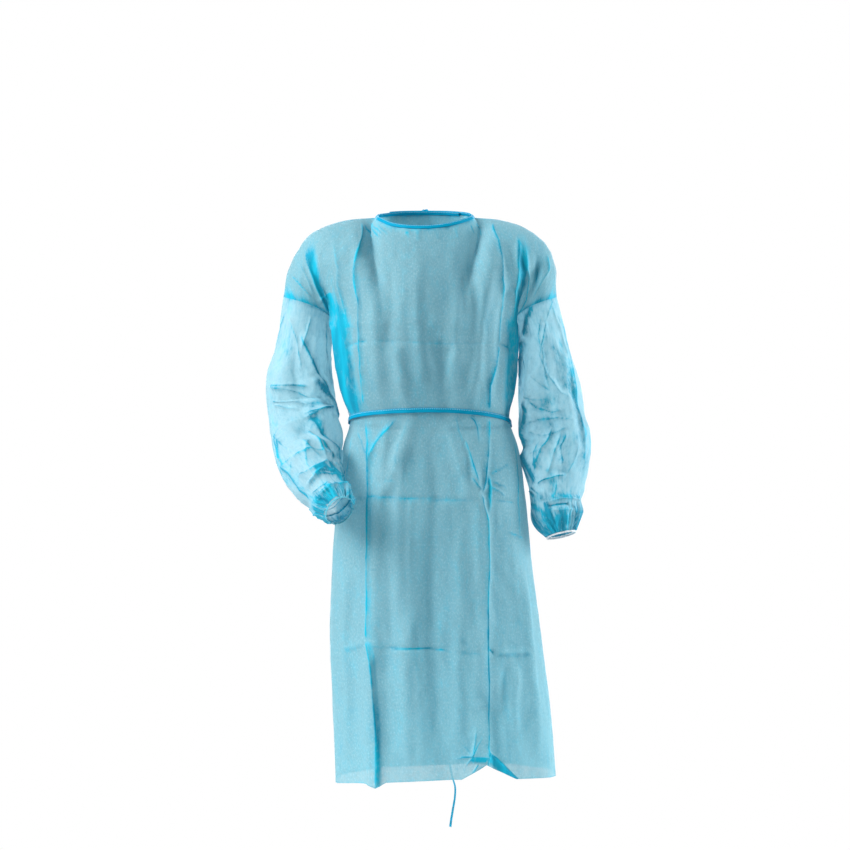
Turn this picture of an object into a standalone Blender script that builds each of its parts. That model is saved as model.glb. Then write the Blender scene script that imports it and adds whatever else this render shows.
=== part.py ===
"""A disposable isolation gown, worn and hollow: knee length, open back, long sleeves with elastic cuffs.

Metres, +Z up. The wearer faces -Y, so the wearer's right arm is at -X. The origin is where the
shoulders carry the gown: midway between the two points where neckline and shoulder seam meet.
"""

import math
from collections import namedtuple

import bmesh
import bpy
import numpy as np
from mathutils import Vector

# Driving sizes of the cut and of the cloth
WALL = 0.0015          # cloth wall
SEAM = 0.0004          # half the space between two pieces at a seam, with their turned edges
TAPE = 0.0016          # folded strip of belt and binding
BELT_WIDTH = 0.009
BINDING_WIDTH = 0.008
BINDING_THICKNESS = 0.0021
LAP_SHIFT = 0.0042     # how far the upper back panel lies outside the lower one
GOWN_LENGTH = 1.100    # shoulder seam at the neck to the hem at the side
HEM_FRONT_LIFT = 0.026
HEM_LEFT_LIFT = 0.012

# Shares of the half width of a body panel, counted from its middle line
NECK_SHARE = 0.30      # where the neckline ends and the shoulder seam starts
LAP_SHARE = 0.16       # how far each back panel runs past the middle of the back
UNDERARM_LEVEL = -0.220
V_UNDERARM = 0.24      # place down a body panel, from 0 to 1, of the underarm
V_BELT = 0.42          # and of the belt
BELT_ROW = 0.0065      # half the height of the flat band under the belt, in the same measure

Point = namedtuple("Point", "x y z")

# The neckline edge from the wearer's right to left, round the front and round the back
NECK_FRONT = (
    Point(-0.0965, 0.000, -0.007),
    Point(-0.0900, -0.040, -0.016),
    Point(-0.0620, -0.072, -0.030),
    Point(-0.0180, -0.088, -0.036),
    Point(0.0280, -0.086, -0.034),
    Point(0.0660, -0.069, -0.025),
    Point(0.0900, -0.039, -0.014),
    Point(0.0965, 0.000, -0.007),
)
NECK_BACK = (
    Point(-0.0965, 0.000, -0.007),
    Point(-0.0880, 0.034, -0.002),
    Point(-0.0520, 0.061, 0.004),
    Point(0.0000, 0.071, 0.006),
    Point(0.0520, 0.061, 0.004),
    Point(0.0880, 0.034, -0.002),
    Point(0.0965, 0.000, -0.007),
)
# The shoulder seams, from the neckline to the top of the dropped armhole
SHOULDERS = {
    "right": (
        Point(-0.0965, 0.000, -0.007),
        Point(-0.1530, 0.001, -0.012),
        Point(-0.2000, 0.003, -0.027),
        Point(-0.2280, 0.004, -0.044),
        Point(-0.2500, 0.005, -0.073),
        Point(-0.2670, 0.006, -0.110),
        Point(-0.2760, 0.008, -0.160),
    ),
    "left": (
        Point(0.0965, 0.000, -0.007),
        Point(0.1500, 0.001, -0.012),
        Point(0.1960, 0.003, -0.027),
        Point(0.2210, 0.004, -0.045),
        Point(0.2440, 0.005, -0.073),
        Point(0.2530, 0.006, -0.110),
        Point(0.2570, 0.008, -0.160),
    ),
}
# Under each arm the armhole seam ends here; its loop reaches this far to the front and back
Armhole = namedtuple("Armhole", "under_x under_z front back")
ARMHOLES = {
    "right": Armhole(-0.174, UNDERARM_LEVEL, 0.082, 0.080),
    "left": Armhole(0.168, UNDERARM_LEVEL, 0.078, 0.078),
}

# Handles of the curves that the cloth follows from its upper edge down to the underarm level:
# sideways or ahead, and down
NECK_HANDLE = 0.034
NECK_FALL = 0.035
NECK_FALL_MIDDLE = 0.027
SHOULDER_HANDLE = 0.098
SHOULDER_FALL = 0.018
UNDERARM_RISE = 0.085
LOOP_TOP_SHARE = 1.15
LOOP_TOP_FALL = 0.010
LOOP_END_SHARE = 0.62
LOOP_END_RISE = 0.040

# Body sections from the underarm to the hem: the widest points, how far the side line is
# tucked in behind them, the reach to the front and to the back, and the squareness
Section = namedtuple("Section", "level right left tuck front back square")
BODY = (
    Section(-0.220, -0.178, 0.172, 0.004, 0.146, 0.128, 2.5),
    Section(-0.300, -0.171, 0.169, 0.006, 0.140, 0.120, 2.5),
    Section(-0.360, -0.160, 0.167, 0.004, 0.130, 0.108, 2.4),
    Section(-0.408, -0.147, 0.166, 0.000, 0.121, 0.102, 2.3),
    Section(-0.450, -0.159, 0.180, 0.000, 0.126, 0.110, 2.3),
    Section(-0.560, -0.172, 0.196, 0.000, 0.141, 0.130, 2.4),
    Section(-0.700, -0.181, 0.210, 0.000, 0.152, 0.146, 2.4),
    Section(-0.830, -0.185, 0.227, 0.000, 0.160, 0.155, 2.4),
    Section(-0.950, -0.180, 0.243, 0.000, 0.166, 0.160, 2.4),
    Section(-1.120, -0.173, 0.257, 0.000, 0.172, 0.166, 2.4),
)
# The belt's height round the waist, and the height over which it draws the cloth in
BELT_FRONT = -0.383
BELT_RIGHT = -0.404
BELT_LEFT = -0.411
BELT_BACK = -0.418
BELT_PINCH = 0.045
BELT_CLEAR = 0.0006     # between the cloth and the belt that lies on it

# Sleeve sections down each arm, from just below the armhole to the cuff's opening, and the
# share of them where the sleeve ends and the elastic cuff starts
Arm = namedtuple("Arm", "x y z across fore_aft")
ARMS = {
    "right": (
        Arm(-0.239, 0.010, -0.268, 0.054, 0.076),
        Arm(-0.244, 0.014, -0.328, 0.065, 0.070),
        Arm(-0.240, 0.010, -0.385, 0.067, 0.068),
        Arm(-0.231, -0.022, -0.440, 0.066, 0.063),
        Arm(-0.219, -0.080, -0.487, 0.061, 0.057),
        Arm(-0.199, -0.134, -0.524, 0.049, 0.047),
        Arm(-0.184, -0.162, -0.543, 0.038, 0.038),
        Arm(-0.171, -0.182, -0.557, 0.040, 0.040),
        Arm(-0.160, -0.198, -0.568, 0.029, 0.030),
    ),
    "left": (
        Arm(0.232, 0.010, -0.268, 0.049, 0.074),
        Arm(0.240, 0.014, -0.326, 0.059, 0.068),
        Arm(0.247, 0.012, -0.380, 0.063, 0.066),
        Arm(0.255, 0.004, -0.440, 0.065, 0.063),
        Arm(0.252, -0.006, -0.490, 0.061, 0.058),
        Arm(0.2515, -0.015, -0.530, 0.051, 0.050),
        Arm(0.252, -0.021, -0.560, 0.048, 0.046),
        Arm(0.256, -0.027, -0.590, 0.048, 0.046),
        Arm(0.263, -0.034, -0.621, 0.029, 0.030),
    ),
}
CUFF_START = 0.78
CUFF_SEAM = 0.0042     # the seam before the cuff, in the same measure
CUFF_GATHERS = 18
GATHER_DEPTH = 0.0022
ELASTIC_LENGTH = 0.0035

# The largest folds of the body panels: where each runs, as a share of the half width at its
# upper and lower end, the levels it starts and stops at, its half width and its height
Fold = namedtuple("Fold", "upper lower start stop spread height")
FRONT_FOLDS = (
    Fold(-0.35, -0.42, -0.05, -1.20, 0.050, 0.0055),
    Fold(-0.44, -0.46, -0.80, -1.30, 0.060, 0.0120),
    Fold(0.49, 0.34, -0.05, -0.44, 0.050, 0.0050),
    Fold(0.34, 0.33, -0.44, -0.86, 0.050, 0.0060),
    Fold(0.33, 0.33, -0.88, -1.30, 0.070, -0.0120),
    Fold(-0.80, -0.84, -0.10, -0.42, 0.070, 0.0090),
    Fold(0.82, 0.86, -0.08, -0.42, 0.070, 0.0090),
    Fold(-0.62, -0.58, -0.12, -0.40, 0.060, -0.0060),
    Fold(0.64, 0.60, -0.12, -0.40, 0.060, -0.0060),
    Fold(-0.22, -0.16, -0.25, -0.42, 0.060, 0.0070),
    Fold(0.17, 0.16, -0.24, -0.42, 0.060, -0.0060),
    Fold(-0.14, -0.36, -0.39, -0.56, 0.055, 0.0065),
    Fold(0.14, 0.30, -0.39, -0.58, 0.055, 0.0065),
    Fold(0.02, 0.06, -0.62, -1.30, 0.130, -0.0075),
    Fold(0.62, 0.68, -0.60, -1.30, 0.090, 0.0080),
    Fold(-0.72, -0.76, -0.62, -1.30, 0.080, 0.0060),
)
BACK_FOLDS = (
    Fold(-0.52, -0.50, -0.06, -0.44, 0.070, 0.0070),
    Fold(0.50, 0.48, -0.06, -0.44, 0.070, 0.0070),
    Fold(-0.36, -0.40, -0.40, -1.30, 0.080, 0.0090),
    Fold(0.38, 0.44, -0.40, -1.30, 0.080, 0.0090),
    Fold(-0.70, -0.72, -0.50, -1.30, 0.080, 0.0080),
    Fold(0.72, 0.74, -0.50, -1.30, 0.080, 0.0080),
    Fold(-0.28, -0.26, -0.25, -0.42, 0.060, -0.0050),
    Fold(0.30, 0.26, -0.25, -0.42, 0.060, -0.0050),
)
# The largest folds of a sleeve: turn round the arm in degrees (0 outside, 90 front) and place
# down the arm from 0 to 1 for both ends, the half width and the height
Crease = namedtuple("Crease", "turn_a place_a turn_b place_b spread height")
SLEEVE_FOLDS = {
    "right": (
        Crease(60, 0.10, 95, 0.38, 0.050, 0.0065),
        Crease(105, 0.28, 170, 0.40, 0.045, 0.0075),
        Crease(70, 0.45, 165, 0.43, 0.040, -0.0080),
        Crease(55, 0.52, 145, 0.50, 0.040, 0.0070),
        Crease(20, 0.46, -20, 0.70, 0.055, 0.0060),
        Crease(-60, 0.26, -110, 0.62, 0.060, 0.0065),
    ),
    "left": (
        Crease(115, 0.06, 150, 0.34, 0.045, 0.0065),
        Crease(75, 0.10, 25, 0.30, 0.045, -0.0060),
        Crease(120, 0.38, 180, 0.45, 0.040, -0.0080),
        Crease(150, 0.46, 105, 0.68, 0.045, 0.0070),
        Crease(10, 0.38, -10, 0.70, 0.055, 0.0060),
        Crease(-70, 0.22, -100, 0.64, 0.060, 0.0070),
    ),
}

# The knots of belt and neck ties at the back, and their loose ends as routes chosen by hand
BELT_KNOT = Point(0.000, 0.1158, -0.418)
NECK_KNOT = Point(0.000, 0.0799, 0.0125)
KNOT_SIZE = Point(0.017, 0.011, 0.013)
BELT_TAIL_LONG = (
    Point(0.0037, 0.1184, -0.4239), Point(0.0080, 0.1235, -0.4360), Point(0.0110, 0.1300, -0.4530),
    Point(0.0140, 0.1390, -0.4850), Point(0.0180, 0.1480, -0.5250), Point(0.0220, 0.1560, -0.5800),
    Point(0.0260, 0.1640, -0.6500), Point(0.0290, 0.1700, -0.7200), Point(0.0310, 0.1745, -0.7900),
    Point(0.0330, 0.1780, -0.8600), Point(0.0360, 0.1810, -0.9300), Point(0.0400, 0.1840, -1.0000),
    Point(0.0450, 0.1860, -1.0600), Point(0.0500, 0.1875, -1.1000), Point(0.0560, 0.1875, -1.1300),
    Point(0.0615, 0.1870, -1.1500), Point(0.0610, 0.1865, -1.1700), Point(0.0570, 0.1860, -1.1950),
    Point(0.0530, 0.1860, -1.2200), Point(0.0516, 0.1860, -1.2310),
)
BELT_TAIL_SHORT = (
    Point(-0.0037, 0.1184, -0.4239), Point(-0.0085, 0.1235, -0.4370), Point(-0.0120, 0.1300, -0.4550),
    Point(-0.0160, 0.1390, -0.4870), Point(-0.0200, 0.1480, -0.5270), Point(-0.0240, 0.1560, -0.5820),
    Point(-0.0270, 0.1640, -0.6500), Point(-0.0280, 0.1700, -0.7150), Point(-0.0280, 0.1745, -0.7800),
    Point(-0.0270, 0.1780, -0.8400), Point(-0.0270, 0.1810, -0.8950), Point(-0.0290, 0.1835, -0.9400),
    Point(-0.0320, 0.1850, -0.9700), Point(-0.0340, 0.1855, -0.9850),
)
NECK_TAIL_LEFT = (
    Point(0.0038, 0.0823, 0.0068), Point(0.0085, 0.0900, -0.0040), Point(0.0115, 0.0990, -0.0200),
    Point(0.0140, 0.1075, -0.0400), Point(0.0170, 0.1150, -0.0650), Point(0.0200, 0.1225, -0.0950),
    Point(0.0220, 0.1285, -0.1250), Point(0.0230, 0.1330, -0.1550), Point(0.0230, 0.1360, -0.1850),
    Point(0.0220, 0.1375, -0.2100), Point(0.0210, 0.1380, -0.2350),
)
NECK_TAIL_RIGHT = (
    Point(-0.0038, 0.0823, 0.0068), Point(-0.0090, 0.0900, -0.0040), Point(-0.0125, 0.0990, -0.0200),
    Point(-0.0160, 0.1075, -0.0400), Point(-0.0200, 0.1150, -0.0650), Point(-0.0240, 0.1225, -0.0950),
    Point(-0.0270, 0.1285, -0.1250), Point(-0.0290, 0.1330, -0.1550), Point(-0.0300, 0.1360, -0.1800),
    Point(-0.0310, 0.1375, -0.2000), Point(-0.0320, 0.1380, -0.2150),
)
TAIL_RADIUS = 0.0030
TAIL_STEP = 0.017

# Columns and rows of the solids
EDGE = 1 - SEAM / 0.3  # share of the outermost columns, just short of the side seams
SHOULDER_SHARES = np.linspace(NECK_SHARE, EDGE, 13)
FRONT_NECK_SHARES = np.linspace(-NECK_SHARE, NECK_SHARE, 12)
BACK_NECK_SHARES = np.linspace(-LAP_SHARE, NECK_SHARE, 9)
FRONT_SHARES = np.concatenate([-SHOULDER_SHARES[::-1], FRONT_NECK_SHARES[1:-1], SHOULDER_SHARES])
BACK_LEFT_SHARES = np.concatenate([BACK_NECK_SHARES[:-1], SHOULDER_SHARES])
BACK_RIGHT_SHARES = -BACK_LEFT_SHARES[::-1]
BODY_ROWS = np.concatenate([
    np.linspace(0, V_UNDERARM, 8),
    np.linspace(V_UNDERARM, V_BELT - BELT_ROW, 6)[1:],
    [V_BELT, V_BELT + BELT_ROW],
    np.linspace(V_BELT + BELT_ROW, 1, 14)[1:],
])
SLEEVE_COLUMNS = 24
SLEEVE_ROWS = 17
UNDERARM_CLEAR = 0.0016
BRIDGE_ROWS = 4        # sleeve rows between the armhole seam and the first arm section
CUFF_COLUMNS = 72
CUFF_ROWS = 3
EDGE_STEP = 0.012      # place down a panel where the way from its edge is read

CLOTH_COLOUR = (0.20, 0.58, 0.72)
TAPE_COLOUR = (0.02, 0.42, 0.62)
ELASTIC_COLOUR = (0.90, 0.92, 0.93)


def smooth_step(low, high, value):
    """0 below low, 1 above high, and a smooth rise between them."""
    share = np.clip((np.asarray(value, float) - low) / (high - low), 0, 1)
    return share * share * (3 - 2 * share)


def through(knots, values, place):
    """A smooth curve through values at rising knots, read at one place."""
    knots, values = np.asarray(knots, float), np.asarray(values, float)
    slopes = np.gradient(values, knots, axis=0)
    place = float(np.clip(place, knots[0], knots[-1]))
    i = int(np.clip(np.searchsorted(knots, place) - 1, 0, len(knots) - 2))
    gap = knots[i + 1] - knots[i]
    t = (place - knots[i]) / gap
    ends = values[i] * (1 + 2 * t) * (1 - t) ** 2 + values[i + 1] * t * t * (3 - 2 * t)
    return ends + slopes[i] * gap * t * (1 - t) ** 2 - slopes[i + 1] * gap * t * t * (1 - t)


def along_table(table, share):
    """A point of a smooth curve through the rows of a table, at a share from 0 to 1 of its length."""
    points = np.array(table)
    steps = np.concatenate([[0], np.cumsum(np.linalg.norm(np.diff(points, axis=0), axis=1))])
    return through(steps / steps[-1], points, share)


def unit(vector):
    """The vector at length 1."""
    return vector / max(np.linalg.norm(vector), 1e-12)


def section_at(level):
    """The body section at a level, read from the table as a smooth curve."""
    values = through([-s.level for s in BODY], [s[1:] for s in BODY], -level)
    return Section(level, *values)


def half_ring(face, level):
    """Points along the front or back half of a body section, from the right side to the left."""
    s = section_at(level)
    turn = np.radians(np.linspace(-90, 90, 181))
    across = np.sign(turn) * np.abs(np.sin(turn)) ** (2 / s.square)
    ahead = np.abs(np.cos(turn)) ** (2 / s.square)
    middle = (s.right + s.left) / 2
    half = (s.left - s.right) / 2
    corner = np.exp(-(((np.abs(turn) - math.radians(62)) / math.radians(15)) ** 2))
    x = middle + across * (half - s.tuck) + np.sign(turn) * s.tuck * corner
    y = -s.front * ahead if face == "front" else s.back * ahead
    return np.stack([x, y, np.full_like(x, level)], axis=1)


def along(points, share):
    """A point at an even share, from -1 to 1, of a line's length."""
    lengths = np.concatenate([[0], np.cumsum(np.linalg.norm(np.diff(points, axis=0), axis=1))])
    at = (share + 1) / 2 * lengths[-1]
    return np.array([np.interp(at, lengths, points[:, k]) for k in range(3)])


def hem_level(face, share):
    """The hem's level along a panel: the front is lifted by the wearer's stance."""
    lift = HEM_FRONT_LIFT * (1 - share * share) if face == "front" else 0.0
    return -GOWN_LENGTH + NECK_FRONT[0].z + lift + HEM_LEFT_LIFT * float(smooth_step(-1, 1, share))


def side_of(share):
    """The wearer's side of a share of the body's width."""
    return "right" if share < 0 else "left"


def top_edge(face, share):
    """The upper edge of a body panel: neckline in the middle, a shoulder seam at each side."""
    if abs(share) <= NECK_SHARE:
        table = NECK_FRONT if face == "front" else NECK_BACK
        return along_table(table, (share / NECK_SHARE + 1) / 2)
    return along_table(SHOULDERS[side_of(share)], (abs(share) - NECK_SHARE) / (1 - NECK_SHARE))


def bezier(a, b, c, d, t):
    """The point at t on the cubic curve from a to d with handles at b and c."""
    s = 1 - t
    return a * s**3 + 3 * b * s * s * t + 3 * c * s * t * t + d * t**3


def column_handles(face, share):
    """How a column leaves the upper edge, and how it comes in to the underarm level."""
    ahead = -1.0 if face == "front" else 1.0
    hole = ARMHOLES[side_of(share)]
    reach = ahead * (hole.front if face == "front" else hole.back) * 4 / 3
    turn = np.clip(share / NECK_SHARE, -1, 1) * math.pi / 2
    sideways, forward = NECK_HANDLE * math.sin(turn), ahead * NECK_HANDLE * math.cos(turn)
    neck = np.array([sideways, forward, -NECK_FALL - NECK_FALL_MIDDLE * math.cos(turn)])
    shoulder = np.array([0, ahead * SHOULDER_HANDLE, -SHOULDER_FALL])
    loop_top = np.array([0, reach * LOOP_TOP_SHARE, -LOOP_TOP_FALL])
    loop_end = np.array([0, reach * LOOP_END_SHARE, LOOP_END_RISE])
    at_shoulder = smooth_step(NECK_SHARE - 0.08, NECK_SHARE + 0.14, abs(share))
    at_loop = smooth_step(0.74, 1.0, abs(share))
    leave = (neck * (1 - at_shoulder) + shoulder * at_shoulder) * (1 - at_loop) + loop_top * at_loop
    arrive = np.array([0, 0, UNDERARM_RISE]) * (1 - at_loop) + loop_end * at_loop
    return leave, arrive


def armhole_point(side, face, t):
    """A point of the armhole seam's front or back half, from the shoulder down to the underarm."""
    share = -1.0 if side == "right" else 1.0
    start = top_edge(face, share)
    hole = ARMHOLES[side]
    end = np.array([hole.under_x, 0.0, hole.under_z])
    leave, arrive = column_handles(face, share)
    return bezier(start, start + leave, end + arrive, end, t)


def level_at(face, share, v):
    """The height of a place v down a body panel, below the underarm."""
    belt = belt_level(face, share)
    if v <= V_BELT:
        return UNDERARM_LEVEL + (v - V_UNDERARM) / (V_BELT - V_UNDERARM) * (belt - UNDERARM_LEVEL)
    return belt + (v - V_BELT) / (1 - V_BELT) * (hem_level(face, share) - belt)


def base_point(face, share, v):
    """A point of a body panel before its folds; v runs from the upper edge (0) to the hem (1)."""
    if v > V_UNDERARM:
        return along(half_ring(face, level_at(face, share, v)), share)
    start = top_edge(face, share)
    leave, arrive = column_handles(face, share)
    end = along(half_ring(face, UNDERARM_LEVEL), share)
    short = shoulder_gap(leave) / (3 * np.linalg.norm(leave)) if abs(share) > NECK_SHARE * 0.97 else 0.0
    t = short + (1 - short) * v / V_UNDERARM
    return bezier(start, start + leave, end + arrive, end, t)


def shoulder_gap(leave):
    """How far a column starts from the shoulder seam, so that the two walls' lower edges clear."""
    flat, steep = np.abs(unit(leave))[1:]
    return (SEAM + WALL / 2 * steep) / max(flat, 0.3)


def body_base(face, shares, rows):
    """A body panel's points before its folds: one column for each share, one row for each v."""
    return np.array([[base_point(face, share, v) for v in rows] for share in shares])


def outward(face, grid):
    """Unit vectors square to a body panel's points, away from the wearer."""
    cross = np.cross(np.gradient(grid, axis=1), np.gradient(grid, axis=0))
    cross /= np.maximum(np.linalg.norm(cross, axis=2, keepdims=True), 1e-12)
    return cross if face == "front" else -cross


def belt_level(face, share):
    """The belt's height round the waist."""
    side = BELT_RIGHT if share < 0 else BELT_LEFT
    middle = BELT_FRONT if face == "front" else BELT_BACK
    return middle + (side - middle) * share * share


def fold_height(face, shares, grid):
    """How far the folds lift the cloth at each point of a body panel."""
    level = grid[:, :, 2]
    share = np.asarray(shares, float)[:, None]
    lift = np.zeros(level.shape)
    for f in FRONT_FOLDS if face == "front" else BACK_FOLDS:
        down = np.clip((level - f.start) / (f.stop - f.start), 0, 1)
        centre = f.upper + (f.lower - f.upper) * down
        ends = smooth_step(0, 0.18, down) * (1 - smooth_step(0.80, 1, down))
        lift += f.height * ends * np.exp(-(((share - centre) / f.spread) ** 2))
    belt = np.array([belt_level(face, s) for s in shares])[:, None]
    held = 1 - 0.80 * np.exp(-(((level - belt) / BELT_PINCH) ** 2))
    seam = 1 - np.abs(share) ** 10
    edge = smooth_step(0, 0.05, -level)
    return lift * held * seam * edge


def body_grid(face, shares, rows, shift=None):
    """A body panel's finished points; shift moves each column outwards, for a lapped edge."""
    base = body_base(face, shares, rows)
    lift = fold_height(face, shares, base)
    if shift is not None:
        lift = lift + np.asarray(shift, float)[:, None]
    grid = base + outward(face, base) * lift[:, :, None]
    under_belt = np.abs(rows - V_BELT) < BELT_ROW * 1.01
    belt_row = int(np.argmin(np.abs(rows - V_BELT)))
    if under_belt.any():
        grid[:, under_belt, :2] = grid[:, belt_row : belt_row + 1, :2]
    return grid


def lap_shift(shares):
    """How far the wearer's left back panel lies outside the right one at each share."""
    return LAP_SHIFT * (1 - smooth_step(LAP_SHARE + 0.01, LAP_SHARE + 0.12, shares))


def material(name, colour):
    """A plain matt finish with the piece's colour."""
    made = bpy.data.materials.new(name)
    made.use_nodes = True
    shader = made.node_tree.nodes["Principled BSDF"]
    shader.inputs["Base Color"].default_value = (*colour, 1.0)
    shader.inputs["Roughness"].default_value = 0.75
    shader.inputs["Metallic"].default_value = 0.0
    return made


def placed(name, data, colour):
    """A new object that holds the data, in the piece's colour."""
    data.materials.append(material(name, colour))
    obj = bpy.data.objects.new(name, data)
    bpy.context.scene.collection.objects.link(obj)
    return obj


def grid_mesh(name, grid, merge=False):
    """A mesh through a grid of points; merge joins columns and rows that meet."""
    columns, rows = grid.shape[:2]
    bm = bmesh.new()
    bmesh.ops.create_grid(bm, x_segments=columns - 1, y_segments=rows - 1, size=1.0)
    for vert in bm.verts:
        i = round((vert.co.x + 1) / 2 * (columns - 1))
        j = round((vert.co.y + 1) / 2 * (rows - 1))
        vert.co = Vector(grid[i, j])
    if merge:
        bmesh.ops.remove_doubles(bm, verts=bm.verts, dist=1e-6)
        bmesh.ops.recalc_face_normals(bm, faces=bm.faces)
    mesh = bpy.data.meshes.new(name)
    bm.to_mesh(mesh)
    bm.free()
    mesh.shade_smooth()
    return mesh


def cloth(name, grid, colour=CLOTH_COLOUR, closed=False, thickness=WALL):
    """A wall of cloth with its middle through a grid of points."""
    obj = placed(name, grid_mesh(name, grid, closed), colour)
    wall = obj.modifiers.new("wall", "SOLIDIFY")
    wall.thickness = thickness
    wall.offset = 0.0
    wall.use_even_offset = True
    return obj


def arm_frame(side, place):
    """Centre, outward and forward radii of a sleeve at a place from 0 to 1 down the arm."""
    sections = ARMS[side]
    knots = np.linspace(0, 1, len(sections))
    centre = through(knots, [s[:3] for s in sections], place)
    ahead = through(knots, [s[:3] for s in sections], place + 0.02)
    behind = through(knots, [s[:3] for s in sections], place - 0.02)
    tangent = unit(ahead - behind)
    across, fore_aft = through(knots, [s[3:] for s in sections], place)
    out = np.array([math.copysign(1.0, sections[0].x), 0.0, 0.25])
    out = unit(out - tangent * (out @ tangent))
    front = np.cross(tangent, out)
    if front[1] - front[2] > 0:
        front = -front
    return centre, out * across, front * fore_aft


def arm_ring(side, turns, place, swell=0.0):
    """A ring of points round the arm; turn 0 is outside and 90 degrees is the front."""
    centre, out, front = arm_frame(side, place)
    cos, sin = np.cos(np.radians(turns))[:, None], np.sin(np.radians(turns))[:, None]
    size = 1 + np.asarray(swell) / np.linalg.norm(out)
    return centre + (out * cos + front * sin) * size


def armhole_ring(side, turns):
    """The armhole seam as a ring: turn 0 is the shoulder end, 180 degrees the underarm."""
    points = []
    for turn in turns % 360:
        face, t = ("front", turn / 180) if turn <= 180 else ("back", (360 - turn) / 180)
        points.append(armhole_point(side, face, t))
    return np.array(points)


def crease_height(fold, turn, place):
    """The lift of one sleeve fold, which runs straight between its ends on the flat sleeve."""
    round_size = 0.16
    ax, bx = math.radians(fold.turn_a) * round_size, math.radians(fold.turn_b) * round_size
    run_x, run_p = bx - ax, fold.place_b - fold.place_a
    best = np.zeros(np.broadcast(turn, place).shape)
    for wrap in (-360, 0, 360):
        x = np.radians(turn + wrap) * round_size
        t = np.clip(((x - ax) * run_x + (place - fold.place_a) * run_p) / (run_x**2 + run_p**2), 0, 1)
        away = np.hypot(x - ax - t * run_x, place - fold.place_a - t * run_p)
        best = np.maximum(best, np.exp(-((away / fold.spread) ** 2)))
    return best * fold.height


def sleeve_points(side):
    """The sleeve from its armhole seam to its cuff: columns round the arm, rows down it."""
    turns = np.linspace(0, 360, SLEEVE_COLUMNS + 1)
    places = np.linspace(0, CUFF_START, SLEEVE_ROWS - BRIDGE_ROWS)
    start = arm_ring(side, turns, 0.0)
    seam = armhole_ring(side, turns)
    run = start - seam
    run /= np.linalg.norm(run, axis=1, keepdims=True)
    inward = arm_frame(side, 0.0)[0] - seam
    inward -= run * np.sum(inward * run, axis=1, keepdims=True)
    inward /= np.linalg.norm(inward, axis=1, keepdims=True)
    under = smooth_step(60, 115, 180 - np.abs(turns - 180))[:, None]
    seam = seam + run * SEAM * 2 + inward * under * (WALL + UNDERARM_CLEAR)
    bridge = [seam + (start - seam) * (k / BRIDGE_ROWS) for k in range(BRIDGE_ROWS)]
    grid = np.stack(bridge + [arm_ring(side, turns, p) for p in places], axis=1)
    place = np.concatenate([np.linspace(-0.12, 0, BRIDGE_ROWS, endpoint=False), places])[None, :]
    lift = sum(crease_height(f, turns[:, None], place) for f in SLEEVE_FOLDS[side])
    lift = lift * smooth_step(-0.12, 0.0, place) * (1 - smooth_step(CUFF_START - 0.14, CUFF_START, place))
    away = grid - grid[:-1].mean(axis=0, keepdims=True)
    away /= np.linalg.norm(away, axis=2, keepdims=True)
    grid = grid + away * lift[:, :, None]
    grid[-1] = grid[0]
    return grid


def cuff_points(side):
    """The elastic cuff: the sleeve's last stretch, drawn into gathers."""
    turns = np.linspace(0, 360, CUFF_COLUMNS + 1)
    wave = GATHER_DEPTH * np.sin(np.radians(turns) * CUFF_GATHERS)[:, None]
    rows = []
    for row in np.linspace(0, 1, CUFF_ROWS):
        place = CUFF_START + CUFF_SEAM + row * (1 - CUFF_START - CUFF_SEAM)
        rows.append(arm_ring(side, turns, place, wave * smooth_step(-0.3, 0.5, row)))
    grid = np.stack(rows, axis=1)
    grid[-1] = grid[0]
    return grid


def elastic_points(side):
    """The elastic's white edge just past the cuff's opening."""
    turns = np.linspace(0, 360, SLEEVE_COLUMNS + 1)
    centre, out, front = arm_frame(side, 1.0)
    ahead = unit(np.cross(out, front))
    inward = arm_frame(side, 0.9)[0]
    if ahead @ (centre - inward) < 0:
        ahead = -ahead
    ring = arm_ring(side, turns, 1.0, -GATHER_DEPTH * 0.3)
    grid = np.stack([ring + ahead * SEAM * 2, ring + ahead * (SEAM * 2 + ELASTIC_LENGTH)], axis=1)
    grid[-1] = grid[0]
    return grid


def bar_grid(points, wide, thick):
    """A strip of rectangular section: rings of four corners along its points."""
    corners = [points + wide * a + thick * b for a, b in ((-1, -1), (1, -1), (1, 1), (-1, 1), (-1, -1))]
    return np.stack(corners, axis=0)


def strip(name, points, wide, thick, looped):
    """A folded strip along a line; wide and thick are its half sizes as vectors at each point."""
    grid = bar_grid(points, wide, thick)
    mesh = grid_mesh(name, grid, merge=True)
    if not looped:
        bm = bmesh.new()
        bm.from_mesh(mesh)
        bmesh.ops.holes_fill(bm, edges=bm.edges, sides=4)
        bmesh.ops.recalc_face_normals(bm, faces=bm.faces)
        bm.to_mesh(mesh)
        bm.free()
    mesh.set_sharp_from_angle(angle=math.radians(50))
    return placed(name, mesh, TAPE_COLOUR)


def belt_line(face, shares, shift=None):
    """The body panels' own points under the belt."""
    rows = np.array([V_BELT - BELT_ROW, V_BELT, V_BELT + BELT_ROW])
    return body_grid(face, shares, rows, shift)[:, 1]


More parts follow.
